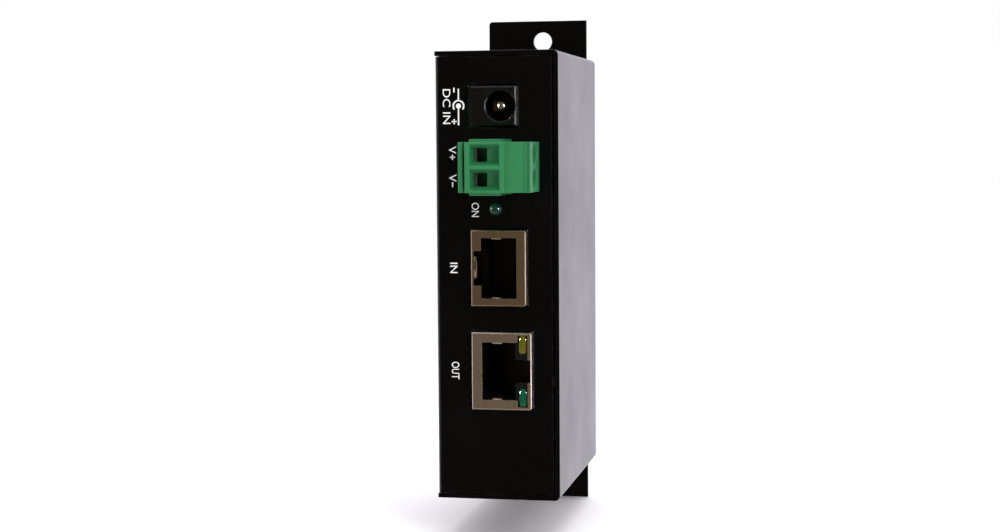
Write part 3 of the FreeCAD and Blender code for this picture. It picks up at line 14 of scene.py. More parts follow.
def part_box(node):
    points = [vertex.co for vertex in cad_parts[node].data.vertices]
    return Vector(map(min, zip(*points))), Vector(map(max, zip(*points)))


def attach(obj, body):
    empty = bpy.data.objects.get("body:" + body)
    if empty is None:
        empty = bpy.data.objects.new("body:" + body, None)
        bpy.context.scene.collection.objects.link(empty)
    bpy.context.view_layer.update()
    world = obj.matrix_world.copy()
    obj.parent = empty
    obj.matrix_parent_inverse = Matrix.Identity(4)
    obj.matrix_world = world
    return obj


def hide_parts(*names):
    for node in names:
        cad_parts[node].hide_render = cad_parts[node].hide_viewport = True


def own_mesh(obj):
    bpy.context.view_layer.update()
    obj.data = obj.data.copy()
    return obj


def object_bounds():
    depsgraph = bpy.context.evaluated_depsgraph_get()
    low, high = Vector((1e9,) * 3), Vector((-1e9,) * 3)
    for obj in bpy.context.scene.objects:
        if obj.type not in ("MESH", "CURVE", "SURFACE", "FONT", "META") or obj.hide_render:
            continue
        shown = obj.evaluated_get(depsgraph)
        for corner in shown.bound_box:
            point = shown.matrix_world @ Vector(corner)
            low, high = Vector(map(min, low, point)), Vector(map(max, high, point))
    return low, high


MM = 0.001
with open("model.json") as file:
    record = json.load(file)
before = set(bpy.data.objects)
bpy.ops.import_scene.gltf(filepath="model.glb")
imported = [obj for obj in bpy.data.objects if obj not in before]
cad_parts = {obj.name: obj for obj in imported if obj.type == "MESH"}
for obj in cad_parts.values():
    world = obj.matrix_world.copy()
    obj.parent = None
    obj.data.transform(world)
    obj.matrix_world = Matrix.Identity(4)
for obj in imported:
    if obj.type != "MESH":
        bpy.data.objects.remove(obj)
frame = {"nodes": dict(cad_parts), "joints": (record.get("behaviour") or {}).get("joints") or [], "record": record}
cad_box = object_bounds()
nodes = frame["nodes"]
slot_of = {part["node"]: part["material_slot"] for part in frame["record"]["subparts"]}


# ---------------------------------------------------------------------------------------------
# Materials
# ---------------------------------------------------------------------------------------------
# A Mix node has a set of sockets for each kind of value. These are the ones for colours.
MIX_SHARE, MIX_FIRST, MIX_LAST, MIX_RESULT = 0, 6, 7, 2


class Finish:
    """A node material put together from short calls. Texture scales are in features per metre."""

    def __init__(self, name):
        self.material = bpy.data.materials.new(name)
        self.material.use_nodes = True
        self.tree = self.material.node_tree
        self.shader = self.tree.nodes["Principled BSDF"]
        self.place = self.node("ShaderNodeTexCoord").outputs["Object"]

    def node(self, kind, **settings):
        made = self.tree.nodes.new(kind)
        for key, value in settings.items():
            setattr(made, key, value)
        return made

    def feed(self, socket, value):
        """Link a socket to an output, or give it a constant."""
        if isinstance(value, bpy.types.NodeSocket):
            self.tree.links.new(value, socket)
        elif socket.type == "RGBA":
            socket.default_value = (*value, 1.0)
        else:
            socket.default_value = value

    def stretched(self, scale):
        mapping = self.node("ShaderNodeMapping")
        self.feed(mapping.inputs["Vector"], self.place)
        mapping.inputs["Scale"].default_value = scale
        return mapping.outputs["Vector"]

    def noise(self, scale, detail=3.0, roughness=0.55, stretch=(1, 1, 1)):
        made = self.node("ShaderNodeTexNoise")
        self.feed(made.inputs["Vector"], self.stretched(stretch))
        made.inputs["Scale"].default_value = scale
        made.inputs["Detail"].default_value = detail
        made.inputs["Roughness"].default_value = roughness
        return made.outputs["Fac"]

    def cells(self, scale, feature="F1"):
        made = self.node("ShaderNodeTexVoronoi", feature=feature)
        self.feed(made.inputs["Vector"], self.place)
        made.inputs["Scale"].default_value = scale
        return made.outputs["Distance"]

    def bands(self, scale, axis):
        made = self.node("ShaderNodeTexWave", wave_type="BANDS", bands_direction=axis)
        self.feed(made.inputs["Vector"], self.place)
        made.inputs["Scale"].default_value = scale
        return made.outputs["Fac"]

    def spread(self, source, low, high, first, last):
        """Map a source that runs from low to high onto first to last."""
        made = self.node("ShaderNodeMapRange")
        for name, value in zip(("Value", "From Min", "From Max", "To Min", "To Max"),
                               (source, low, high, first, last)):
            self.feed(made.inputs[name], value)
        return made.outputs["Result"]

    def blend(self, mask, first, last):
        made = self.node("ShaderNodeMix", data_type="RGBA")
        self.feed(made.inputs[MIX_SHARE], mask)
        self.feed(made.inputs[MIX_FIRST], first)
        self.feed(made.inputs[MIX_LAST], last)
        return made.outputs[MIX_RESULT]

    def maths(self, operation, first, second=0.0):
        made = self.node("ShaderNodeMath", operation=operation)
        self.feed(made.inputs[0], first)
        self.feed(made.inputs[1], second)
        return made.outputs[0]

    def edges(self, radius, sharpness):
        """1 on outer and inner edges, 0 on open faces."""
        bevel = self.node("ShaderNodeBevel", samples=6)
        bevel.inputs["Radius"].default_value = radius
        flat = self.node("ShaderNodeNewGeometry").outputs["Normal"]
        product = self.node("ShaderNodeVectorMath", operation="DOT_PRODUCT")
        self.feed(product.inputs[0], bevel.outputs["Normal"])
        self.feed(product.inputs[1], flat)
        return self.spread(product.outputs["Value"], 1.0, 1.0 - sharpness, 0.0, 1.0)

    def bump(self, height, depth, strength, under=None):
        """Raise the surface by depth (in metres) where height is 1."""
        made = self.node("ShaderNodeBump")
        made.inputs["Strength"].default_value = strength
        made.inputs["Distance"].default_value = depth
        self.feed(made.inputs["Height"], height)
        if under is not None:
            self.feed(made.inputs["Normal"], under)
        return made.outputs["Normal"]

    def set(self, **values):
        """Set shader inputs; underscores stand for spaces."""
        for name, value in values.items():
            self.feed(self.shader.inputs[name.replace("_", " ")], value)
        return self.material


def powder_coat():
    """Black textured powder coat: orange peel, fine grain, specks of dust and chipped edges."""
    f = Finish("black_coated_steel")
    peel = f.noise(1500, 3.0)
    grain = f.noise(4200, 1.0)
    cloud = f.noise(55, 4.0)
    dust = f.spread(f.noise(5200, 0.0), 0.74, 0.80, 0.0, 1.0)
    chipped = f.spread(f.noise(1300, 2.0), 0.50, 0.60, 0.0, 1.0)
    worn = f.maths("MULTIPLY", f.edges(0.22 * MM, 0.2), chipped)
    tone = f.blend(f.spread(cloud, 0.3, 0.7, 0.0, 1.0), (0.0006, 0.0006, 0.0007),
                   (0.0013, 0.0013, 0.0015))
    tone = f.blend(f.maths("MULTIPLY", worn, 0.6), tone, (0.075, 0.075, 0.08))
    tone = f.blend(f.maths("MULTIPLY", dust, 0.06), tone, (0.12, 0.12, 0.12))
    gloss = f.spread(cloud, 0.3, 0.7, 0.29, 0.35)
    gloss = f.maths("ADD", gloss, f.spread(grain, 0.3, 0.7, -0.03, 0.04))
    relief = f.bump(grain, 0.014 * MM, 0.6, under=f.bump(peel, 0.035 * MM, 0.6))
    return f.set(Base_Color=tone, Roughness=gloss, Normal=relief, Specular_IOR_Level=0.21)


def plated(name, colour, rough, brushed=(1, 1, 12), dull=(0.10, 0.095, 0.09), stain=0.35):
    """Plated metal with a drawn or rolled direction, faint stains and bright worn edges."""
    f = Finish(name)
    streaks = f.noise(1800, 3.0, 0.6, brushed)
    cloud = f.noise(260, 4.0, 0.6)
    rubbed = f.edges(0.18 * MM, 0.25)
    tone = f.blend(f.spread(cloud, 0.35, 0.75, 0.0, stain), colour,
                   tuple(c * 0.62 for c in colour))
    tone = f.blend(f.spread(streaks, 0.25, 0.75, 0.0, 0.25), tone, dull)
    tone = f.blend(f.maths("MULTIPLY", rubbed, 0.4), tone, tuple(min(1, c * 1.25) for c in colour))
    gloss = f.maths("ADD", f.spread(cloud, 0.3, 0.7, rough * 0.8, rough * 1.25),
                    f.spread(streaks, 0.3, 0.7, -0.04, 0.05))
    relief = f.bump(streaks, 0.004 * MM, 0.5)
    return f.set(Base_Color=tone, Metallic=1.0, Roughness=gloss, Normal=relief)


def moulded(name, colour, rough=0.42, grain=3000, depth_mm=0.012, vary=0.16, glow=0.0, edge=1.35):
    """Injection moulded plastic: eroded mould texture, flow clouds and slightly paler edges."""
    f = Finish(name)
    erosion = f.noise(grain, 3.0)
    cloud = f.noise(140, 4.0, 0.6)
    dirt = f.spread(f.noise(2300, 1.0), 0.66, 0.74, 0.0, 0.25)
    pale = tuple(min(1.0, c * edge + 0.004) for c in colour)
    tone = f.blend(f.spread(cloud, 0.3, 0.7, 0.0, 1.0), tuple(c * (1 - vary) for c in colour),
                   tuple(c * (1 + vary) for c in colour))
    tone = f.blend(f.maths("MULTIPLY", f.edges(0.16 * MM, 0.25), 0.55), tone, pale)
    tone = f.blend(dirt, tone, tuple(c * 0.7 for c in colour))
    gloss = f.spread(erosion, 0.3, 0.7, rough - 0.06, rough + 0.07)
    relief = f.bump(erosion, depth_mm * MM, 0.5)
    f.set(Base_Color=tone, Roughness=gloss, Normal=relief)
    if glow:
        f.set(Subsurface_Weight=glow, Subsurface_Radius=(0.3, 0.8, 0.4), Subsurface_Scale=0.0006)
    return f.material


def clear_tint(name, colour, clarity, rough=0.06):
    """Tinted epoxy of a lamp: partly clear, with flow lines and a thin clear skin."""
    f = Finish(name)
    flow = f.noise(700, 3.0)
    tone = f.blend(f.spread(flow, 0.3, 0.7, 0.0, 1.0), tuple(c * 0.8 for c in colour), colour)
    gloss = f.spread(flow, 0.3, 0.7, rough * 0.7, rough * 1.6)
    return f.set(Base_Color=tone, Roughness=gloss, Transmission_Weight=clarity, IOR=1.52,
                 Coat_Weight=0.6, Coat_Roughness=0.04, Normal=f.bump(flow, 0.004 * MM, 0.3))


def laminate():
    """Solder mask over glass laminate: tracks show through as raised paler lines."""
    f = Finish("board_laminate")
    tracks = f.spread(f.cells(420, "DISTANCE_TO_EDGE"), 0.02, 0.06, 1.0, 0.0)
    pads = f.spread(f.cells(380), 0.12, 0.15, 1.0, 0.0)
    weave = f.bands(2600, "Y")
    tone = f.blend(tracks, (0.003, 0.026, 0.011), (0.006, 0.055, 0.022))
    tone = f.blend(pads, tone, (0.72, 0.69, 0.6))
    tone = f.blend(f.maths("MULTIPLY", weave, 0.12), tone, (0.01, 0.05, 0.02))
    relief = f.bump(tracks, 0.02 * MM, 0.6, under=f.bump(weave, 0.004 * MM, 0.3))
    return f.set(Base_Color=tone, Roughness=f.spread(weave, 0, 1, 0.22, 0.3), Normal=relief,
                 Metallic=f.maths("MULTIPLY", pads, 0.9))


def sleeve():
    """Shrunk sleeve of a capacitor: a pale polarity stripe along one side, bare metal on top."""
    f = Finish("capacitor_sleeve")
    around = f.node("ShaderNodeSeparateXYZ")
    f.feed(around.inputs[0], f.node("ShaderNodeNewGeometry").outputs["Normal"])
    stripe = f.spread(around.outputs["Y"], -0.93, -0.96, 0.0, 1.0)
    top = f.spread(around.outputs["X"], 0.9, 0.97, 0.0, 1.0)
    ripple = f.noise(900, 3.0, 0.5, (6, 1, 1))
    tone = f.blend(f.spread(ripple, 0.3, 0.7, 0, 1), (0.006, 0.007, 0.016), (0.011, 0.012, 0.026))
    tone = f.blend(stripe, tone, (0.46, 0.46, 0.44))
    tone = f.blend(top, tone, (0.62, 0.62, 0.63))
    return f.set(Base_Color=tone, Roughness=f.spread(ripple, 0.3, 0.7, 0.2, 0.36), Metallic=top,
                 Normal=f.bump(ripple, 0.01 * MM, 0.4))


def sintered(name, colour, rough):
    """Pressed and fired powder: pitted, dull, chipped along its edges."""
    f = Finish(name)
    pits = f.cells(3800)
    cloud = f.noise(500, 4.0)
    tone = f.blend(f.spread(cloud, 0.3, 0.7, 0, 1), tuple(c * 0.75 for c in colour), colour)
    chips = f.maths("MULTIPLY", f.edges(0.25 * MM, 0.2), f.spread(cloud, 0.5, 0.6, 0, 1))
    tone = f.blend(chips, tone, tuple(min(1, c * 1.8 + 0.03) for c in colour))
    return f.set(Base_Color=tone, Roughness=f.spread(pits, 0, 0.6, rough + 0.12, rough),
                 Normal=f.bump(pits, 0.02 * MM, 0.5))


def enamelled_wire():
    """Close turns of enamelled copper wire around the winding."""
    f = Finish("copper_wire")
    turns = f.bands(1100, "Y")
    cloud = f.noise(600, 3.0)
    tone = f.blend(f.spread(cloud, 0.3, 0.7, 0, 1), (0.36, 0.11, 0.03), (0.62, 0.24, 0.07))
    tone = f.blend(f.spread(turns, 0.0, 0.3, 0.7, 0.0), tone, (0.06, 0.015, 0.005))
    return f.set(Base_Color=tone, Metallic=0.75, Roughness=f.spread(turns, 0, 1, 0.5, 0.24),
                 Coat_Weight=0.5, Normal=f.bump(turns, 0.12 * MM, 0.9))


def legend_ink():
    """White screen print: a little uneven at this size, with a fine mesh trace."""
    f = Finish("legend_ink")
    mesh = f.noise(6500, 2.0)
    cloud = f.noise(900, 3.0)
    tone = f.blend(f.spread(mesh, 0.3, 0.62, 0.25, 0.0), (0.86, 0.86, 0.85), (0.5, 0.5, 0.5))
    tone = f.blend(f.spread(cloud, 0.55, 0.75, 0.0, 0.2), tone, (0.55, 0.55, 0.55))
    return f.set(Base_Color=tone, Roughness=0.55, Normal=f.bump(mesh, 0.006 * MM, 0.4))


MATERIALS = {
    "black_coated_steel": powder_coat(),
    "blackened_screw": plated("blackened_screw", (0.05, 0.05, 0.052), 0.38,
                              dull=(0.01, 0.01, 0.01)),
    "zinc_plated_steel": plated("zinc_plated_steel", (0.66, 0.67, 0.70), 0.26),
    "nickel_plated_shield": plated("nickel_plated_shield", (0.84, 0.73, 0.62), 0.29, (1, 1, 9),
                                   dull=(0.42, 0.35, 0.28), stain=0.2),
    # Painted shade: a darker, warmer copy of the shield plating for the upper jack and its spring.
    "painted_shade_shield": plated("painted_shade_shield", (0.58, 0.47, 0.33), 0.27, (1, 1, 9),
                               dull=(0.28, 0.22, 0.15), stain=0.3),
    "nickel_plated_brass": plated("nickel_plated_brass", (0.75, 0.66, 0.50), 0.2, (1, 8, 1)),
    "tinned_brass": plated("tinned_brass", (0.74, 0.72, 0.66), 0.3, (1, 8, 1)),
    "tinned_wire": plated("tinned_wire", (0.72, 0.71, 0.69), 0.32, (8, 1, 1)),
    "gold_plated_wire": plated("gold_plated_wire", (0.86, 0.60, 0.24), 0.2, (1, 8, 1)),
    "spring_steel": plated("spring_steel", (0.5, 0.5, 0.52), 0.24, (1, 1, 6)),
    "black_plastic": moulded("black_plastic", (0.0022, 0.0023, 0.0022), 0.3, depth_mm=0.004,
                             edge=1.1),
    "dark_plastic": moulded("dark_plastic", (0.0032, 0.0031, 0.003), 0.48, 2400, 0.018),
    "green_plastic": moulded("green_plastic", (0.027, 0.195, 0.072), 0.4, vary=0.07, glow=0.12,
                             edge=1.5),
    "board_laminate": laminate(),
    "green_lamp": clear_tint("green_lamp", (0.004, 0.030, 0.019), 0.55),
    "green_lamp_bar": clear_tint("green_lamp_bar", (0.0009, 0.044, 0.022), 0.15),
    "yellow_lamp": clear_tint("yellow_lamp", (0.060, 0.055, 0.003), 0.15),
    "capacitor_sleeve": sleeve(),
    "ferrite": sintered("ferrite", (0.028, 0.028, 0.03), 0.55),
    "white_ceramic": sintered("white_ceramic", (0.62, 0.6, 0.55), 0.35),
    "tan_ceramic": sintered("tan_ceramic", (0.42, 0.27, 0.14), 0.45),
    "copper_wire": enamelled_wire(),
    "legend_ink": legend_ink(),
}

# Nodes whose finish is a variant of their material slot. The upper jack's shield gets a darker, warmer copy of its
# plating, which is painted shade.
OWN_FINISH = {"lan_jack_shield": "painted_shade_shield"}


def dress_nodes():
    """Give every CAD node the material of its slot, or its own variant of it."""
    for name, thing in nodes.items():
        thing.data.materials.clear()
        thing.data.materials.append(MATERIALS[OWN_FINISH.get(name, slot_of[name])])


# ---------------------------------------------------------------------------------------------
# Softened edges on the CAD nodes
# ---------------------------------------------------------------------------------------------
FLAT_LIMIT = math.radians(1.0)
SHARP_LIMIT = math.radians(32)
SAME_POINT = 0.001 * MM
EDGE_MM = {
    "base_chassis": 0.1, "cover": 0.14, "dc_jack_body": 0.08, "plug_housing": 0.16,
    "header_body": 0.12, "lan_jack_shield": 0.06, "poe_jack_shield": 0.06,
    "lan_jack_housing": 0.08, "poe_jack_housing": 0.08, "rail_clip_body": 0.25,
    "rail_clip_latch": 0.2, "cover_screws": 0.06, "rail_clip_screws": 0.1, "board_screws": 0.1,
    "clamp_screw_1": 0.08, "clamp_screw_2": 0.08, "clamp_cage_1": 0.1, "clamp_cage_2": 0.1,
    "led_holder": 0.12, "transformer_core": 0.2, "transformer_bobbin": 0.1, "header_pins": 0.1,
    "data_magnetics": 0.15, "controller_chip": 0.06, "power_transistor": 0.08,
    "rectifier_diode": 0.08, "input_fuse": 0.15, "chip_resistors": 0.05, "chip_capacitors": 0.08,
    "circuit_board": 0.04, "standoffs": 0.08, "plug_contacts": 0.05, "dc_jack_pin": 0.35,
}


def soften(thing, width_mm):
    """Modifiers that round the sharp edges of a CAD node; its mesh is left as it is."""
    for face in thing.data.polygons:
        face.use_smooth = True
    weld = thing.modifiers.new("weld", "WELD")
    weld.merge_threshold = SAME_POINT
    flat = thing.modifiers.new("flat_faces", "DECIMATE")
    flat.decimate_type = "DISSOLVE"
    flat.angle_limit = FLAT_LIMIT
    bevel = thing.modifiers.new("soft_edge", "BEVEL")
    bevel.width = width_mm * MM
    bevel.segments = 3
    bevel.limit_method = "ANGLE"
    bevel.angle_limit = SHARP_LIMIT
    bevel.use_clamp_overlap = False
    bevel.harden_normals = True
    thing.modifiers.new("normals", "WEIGHTED_NORMAL").keep_sharp = True


# ---------------------------------------------------------------------------------------------
# Pieces built here
# ---------------------------------------------------------------------------------------------
def add_piece(name, mesh, finish, body, smooth=True):
    """Object from a mesh, dressed, riding on a CAD body."""
    thing = bpy.data.objects.new(name, mesh)
    bpy.context.scene.collection.objects.link(thing)
    mesh.materials.append(MATERIALS[finish])
    for face in mesh.polygons:
        face.use_smooth = smooth
    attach(thing, body)
    return thing


def mesh_from(name, verts, faces):
    mesh = bpy.data.meshes.new(name)
    mesh.from_pydata([tuple(v) for v in verts], [], faces)
    mesh.validate()
    shell = bmesh.new()
    shell.from_mesh(mesh)
    bmesh.ops.recalc_face_normals(shell, faces=shell.faces)
    shell.to_mesh(mesh)
    shell.free()
    return mesh


def lathe(name, outline, origin, steps=48):
    """Closed mesh turned about the Y axis through origin. outline holds (y, radius) in mm."""
    verts, rings = [], []
    for along, radius in outline:
        count = steps if radius else 1
        rings.append(list(range(len(verts), len(verts) + count)))
        for i in range(count):
            turn = 2 * math.pi * i / count
            spot = Vector((math.cos(turn) * radius, along, math.sin(turn) * radius))
            verts.append(origin + spot * MM)
    faces = []
    for here, there in zip(rings, rings[1:]):
        for i in range(steps):
            j = (i + 1) % steps
            a = [here[i % len(here)], here[j % len(here)]]
            b = [there[j % len(there)], there[i % len(there)]]
            corner = list(dict.fromkeys(a + b))
            if len(corner) > 2:
                faces.append(corner)
    return mesh_from(name, verts, faces)


def tube(name, path, radius_mm, sides=12):
    """Closed round wire along a list of points, by carrying a ring along the path."""
    radius = radius_mm * MM
    verts, faces = [], []
    side = None
    for i, spot in enumerate(path):
        ahead = (path[min(i + 1, len(path) - 1)] - path[max(i - 1, 0)]).normalized()
        if side is None:
            side = ahead.orthogonal().normalized()
        side = (side - ahead * side.dot(ahead)).normalized()
        other = ahead.cross(side)
        for k in range(sides):
            turn = 2 * math.pi * k / sides
            verts.append(spot + (side * math.cos(turn) + other * math.sin(turn)) * radius)
    for i in range(len(path) - 1):
        for k in range(sides):
            a, b = i * sides + k, i * sides + (k + 1) % sides
            faces.append([a, b, b + sides, a + sides])
    faces.append(list(range(sides))[::-1])
    faces.append([len(verts) - sides + k for k in range(sides)])
    return mesh_from(name, verts, faces)


def prism(name, outline, low, high, axes="xz"):
    """Closed mesh: an outline in two axes, pulled between two levels of the third."""
    third = next(a for a in "xyz" if a not in axes)
    order = ["xyz".index(a) for a in (axes[0], axes[1], third)]

    def spot(a, b, c):
        point = [0.0, 0.0, 0.0]
        for index, value in zip(order, (a, b, c)):
            point[index] = value
        return point

    count = len(outline)
    verts = [spot(a, b, low) for a, b in outline] + [spot(a, b, high) for a, b in outline]
    faces = [list(range(count))[::-1], list(range(count, 2 * count))]
    faces += [[i, (i + 1) % count, (i + 1) % count + count, i + count] for i in range(count)]
    return mesh_from(name, verts, faces)


def joined(name, meshes):
    """One mesh that holds several."""
    whole = bmesh.new()
    for mesh in meshes:
        whole.from_mesh(mesh)
    result = bpy.data.meshes.new(name)
    whole.to_mesh(result)
    whole.free()
    return result


def arc(start, end, steps):
    """Angles in radians from start to end, which are in degrees."""
    return [math.radians(start + (end - start) * i / steps) for i in range(steps + 1)]


# -- printed legends --------------------------------------------------------------------------
PANEL_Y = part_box("base_chassis")[0].y
INK = 0.02 * MM
BOX_MIDDLE = (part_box("cover")[0].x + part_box("cover")[1].x) / 2


def on_panel(x_mm, z_mm):
    """Point on the front panel face, from the middle of the box."""
    return Vector((BOX_MIDDLE + x_mm * MM, PANEL_Y, z_mm * MM))


def printed_word(name, word, x_mm, top_mm, bottom_mm, height_mm):
    """Word that reads downwards, between two heights, centred on x_mm."""
    text = bpy.data.curves.new(name, "FONT")
    text.body = word
    text.resolution_u = 4
    carrier = bpy.data.objects.new(name + "_outline", text)
    bpy.context.scene.collection.objects.link(carrier)
    bpy.context.view_layer.update()
    flat = bpy.data.meshes.new_from_object(
        carrier.evaluated_get(bpy.context.evaluated_depsgraph_get()))
    bpy.data.objects.remove(carrier)
    spots = [v.co for v in flat.vertices]
    low = Vector((min(p.x for p in spots), min(p.y for p in spots), 0))
    size = Vector((max(p.x for p in spots), max(p.y for p in spots), 0)) - low
    corner = on_panel(x_mm - height_mm / 2, top_mm)
    for v in flat.vertices:
        along = (v.co.x - low.x) / size.x * (top_mm - bottom_mm) * MM
        up = (v.co.y - low.y) / size.y * height_mm * MM
        v.co = corner + Vector((up, 0, -along))
    return thickened(flat, name)


def thickened(flat, name):
    """Closed slab of ink from a flat mesh on the panel."""
    slab = bmesh.new()
    slab.from_mesh(flat)
    bmesh.ops.remove_doubles(slab, verts=slab.verts, dist=1e-7)
    back, rim = slab.faces[:], [edge for edge in slab.edges if edge.is_boundary]
    front = {corner: slab.verts.new(corner.co - Vector((0, INK, 0))) for corner in slab.verts[:]}
    for face in back:
        slab.faces.new([front[corner] for corner in face.verts])
    for edge in rim:
        here, there = edge.verts
        slab.faces.new([here, there, front[there], front[here]])
    bmesh.ops.recalc_face_normals(slab, faces=slab.faces)
    result = bpy.data.meshes.new(name)
    slab.to_mesh(result)
    slab.free()
    return result


def ring_sector(x_mm, z_mm, inner_mm, outer_mm, start, end, steps=28):
    """Closed slab of ink in the shape of an arc. Angles in degrees from +X towards +Z."""
    outline = [on_panel(x_mm + radius * math.cos(turn), z_mm + radius * math.sin(turn))
               for radius, turns in ((outer_mm, arc(start, end, steps)),
                                     (inner_mm, arc(end, start, steps))) for turn in turns]
    return prism("arc", [(p.x, p.z) for p in outline], PANEL_Y - INK, PANEL_Y)


def disc(x_mm, z_mm, radius_mm, steps=24):
    rim = [on_panel(x_mm + radius_mm * math.cos(2 * math.pi * i / steps),
                    z_mm + radius_mm * math.sin(2 * math.pi * i / steps)) for i in range(steps)]
    return prism("disc", [(p.x, p.z) for p in rim], PANEL_Y - INK, PANEL_Y)


def bar(x_mm, z_mm, wide_mm, tall_mm):
    low = on_panel(x_mm - wide_mm / 2, z_mm - tall_mm / 2)
    high = on_panel(x_mm + wide_mm / 2, z_mm + tall_mm / 2)
    return prism("bar", [(low.x, low.z), (high.x, low.z), (high.x, high.z), (low.x, high.z)],
                 PANEL_Y - INK, PANEL_Y)


def plus_sign(x_mm, z_mm, stroke_mm, reach_mm=1.1):
    return [bar(x_mm, z_mm, stroke_mm, reach_mm), bar(x_mm, z_mm, reach_mm, stroke_mm)]


def legends():
    """Generic words beside the connectors, and the usual sign for a centre-positive DC socket."""
    # All lengths here are in millimetres.
    # name, word, middle in X, upper end, lower end, letter height
    words = [
        ("legend_dc", "DC IN", -10.6, 39.5, 32.2, 1.65),
        ("legend_plus", "V", -9.45, 27.5, 25.95, 1.6),
        ("legend_minus", "V", -9.45, 21.6, 20.05, 1.6),
        ("legend_lamp", "ON", -4.6, 15.6, 12.6, 1.6),
        ("legend_input", "IN", -9.35, 2.9, 0.7, 1.6),
        ("legend_output", "OUT", -9.15, -18.2, -21.9, 1.65),
    ]
    for name, word, x_mm, top, bottom, height in words:
        add_piece(name, printed_word(name, word, x_mm, top, bottom, height), "legend_ink", "box",
                  smooth=False)
    poles = plus_sign(-9.45, 25.2, 0.24) + [bar(-9.45, 19.4, 0.24, 1.0)]
    x, z = -8.05, 35.95
    beside = x - 0.95
    polarity = [bar(x, 38.3, 0.3, 2.5), bar(x, 33.7, 0.3, 3.6), disc(x, z, 0.55),
                ring_sector(x, z, 0.98, 1.3, -40, 220), bar(beside, 39.3, 0.28, 1.0)]
    polarity += plus_sign(beside, 32.7, 0.26)
    for name, marks in (("legend_signs", poles), ("legend_polarity", polarity)):
        add_piece(name, joined(name, marks), "legend_ink", "box",
                  smooth=False)


# -- lamps ------------------------------------------------------------------------------------
def power_lamp():
    """Three millimetre lamp: domed epoxy over a lead frame with its reflector cup."""
    low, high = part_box("power_led")
    centre = Vector(((low.x + high.x) / 2, low.y, (low.z + high.z) / 2))
    # The outlines of the lens and the cup are in millimetres from the tip of the lens.
    radius, flange, thick, ease = 1.5, 1.9, 1.0, 0.05
    length = (high.y - low.y) / MM
    dome = [(radius * (1 - math.cos(turn)), radius * math.sin(turn)) for turn in arc(0, 90, 14)]
    outline = dome + [(length - thick, radius), (length - thick, flange - ease),
                      (length - thick + ease, flange), (length - ease, flange),
                      (length, flange - ease), (length, 0)]
    lens = add_piece("power_lamp_lens", lathe("power_lamp_lens", outline, centre), "green_lamp",
                     "box")
    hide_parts("power_led")
    cup = [(2.0, 0), (1.55, 0.28), (1.35, 0.5), (1.3, 0.56), (1.35, 0.6), (2.1, 0.45), (3.9, 0.4),
           (3.9, 0)]
    cup_axis = centre + Vector((-0.25 * MM, 0, 0))
    add_piece("power_lamp_cup", lathe("power_lamp_cup", cup, cup_axis, 24), "tinned_wire", "box")
    near, far, half = centre.x + 0.45 * MM, centre.x + 0.8 * MM, 0.2 * MM
    corners = [(near, centre.z - half), (far, centre.z - half), (far, centre.z + half),
               (near, centre.z + half)]
    post = prism("power_lamp_post", corners, centre.y + 1.4 * MM, centre.y + 3.9 * MM)
    add_piece("power_lamp_post", post, "tinned_wire", "box", smooth=False)


LAMP_FINISH = {"yellow": "yellow_lamp", "green": "green_lamp_bar"}


def bar_lamp(colour):
    """Bar lamp of a jack: a lens crowned both ways on straight sides."""
    node = f"poe_led_{colour}"
    low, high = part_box(node)
    middle, half = (low + high) / 2, (high - low) / 2
    outline = rounded_ring(half.x - 0.04 * MM, half.z - 0.04 * MM, 0.5 * MM)
    crown, reach, steps = 1.2 * MM, 1.45, 12

    def sag(x, z):
        """Depth of the crown's face at a place beside its middle."""
        aside = (x / half.x / reach) ** 2 + (z / half.z / reach) ** 2
        return crown * (1 - math.sqrt(1 - aside))

    verts = []
    for share in [i / steps for i in range(1, steps + 1)]:
        verts += [Vector((middle.x + x * share, low.y + sag(x * share, z * share),
                          middle.z + z * share)) for x, z in outline]
    verts += [Vector((middle.x + x, high.y, middle.z + z)) for x, z in outline]
    lens = add_piece(f"jack_lamp_{colour}", shell_of_rings(node, verts, len(outline)),
                     LAMP_FINISH[colour], "box")
    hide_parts(node)


def shell_of_rings(name, verts, count):
    """Closed mesh through rings of equal size, capped at both ends."""
    faces = []
    for start in range(0, len(verts) - count, count):
        for k in range(count):
            a, b = start + k, start + (k + 1) % count
            faces.append([a, b, b + count, a + count])
    faces.append(list(range(count)))
    faces.append([len(verts) - count + k for k in range(count)])
    return mesh_from(name, verts, faces)


def rounded_ring(half_x, half_z, corner, steps=6):
    """Outline of a rectangle with round corners, centred on zero."""
    points = []
    for sx, sz, start in ((1, 1, 0), (-1, 1, 90), (-1, -1, 180), (1, -1, 270)):
        for turn in arc(start, start + 90, steps):
            points.append((sx * (half_x - corner) + corner * math.cos(turn),
                           sz * (half_z - corner) + corner * math.sin(turn)))
    return points


# -- network jacks ----------------------------------------------------------------------------
def ribbon(name, path, thick, low, high):
    """Closed strip of sheet: a path in X and Y with a thickness, between two heights."""
    left, right = [], []
    for i, spot in enumerate(path):
        ahead = (Vector(path[min(i + 1, len(path) - 1)]) - Vector(path[max(i - 1, 0)])).normalized()
        aside = Vector((-ahead.y, ahead.x)) * thick / 2
        left.append(Vector(spot) + aside)
        right.append(Vector(spot) - aside)
    outline = [(p.x, p.y) for p in left + right[::-1]]
    return prism(name, outline, low, high, axes="xy")


def latch_spring():
    """Grounding spring of the upper jack, folded over in its latch notch."""
    low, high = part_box("lan_jack_shield")
    thick, half, fold = 0.2 * MM, 2.3 * MM, 0.36 * MM
    middle = (low.z + high.z) / 2 + 0.15 * MM
    wall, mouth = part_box("lan_jack_housing")[0].x + 0.17 * MM, low.y + 0.5 * MM
    path = [(wall, low.y + 6 * MM), (wall, low.y + 3 * MM)]
    path += [(wall + fold - fold * math.cos(turn), mouth - fold * math.sin(turn))
             for turn in arc(0, 180, 16)]
    path += [(wall + 2 * fold - 0.1 * MM, low.y + 2.5 * MM), (wall + 0.35 * MM, low.y + 4.6 * MM)]
    strip = ribbon("latch_spring", path, thick, middle - half, middle + half)
    # The spring takes the upper shield's darker copy of the plating, which is painted shade.
    add_piece("latch_spring", strip, "painted_shade_shield", "box")


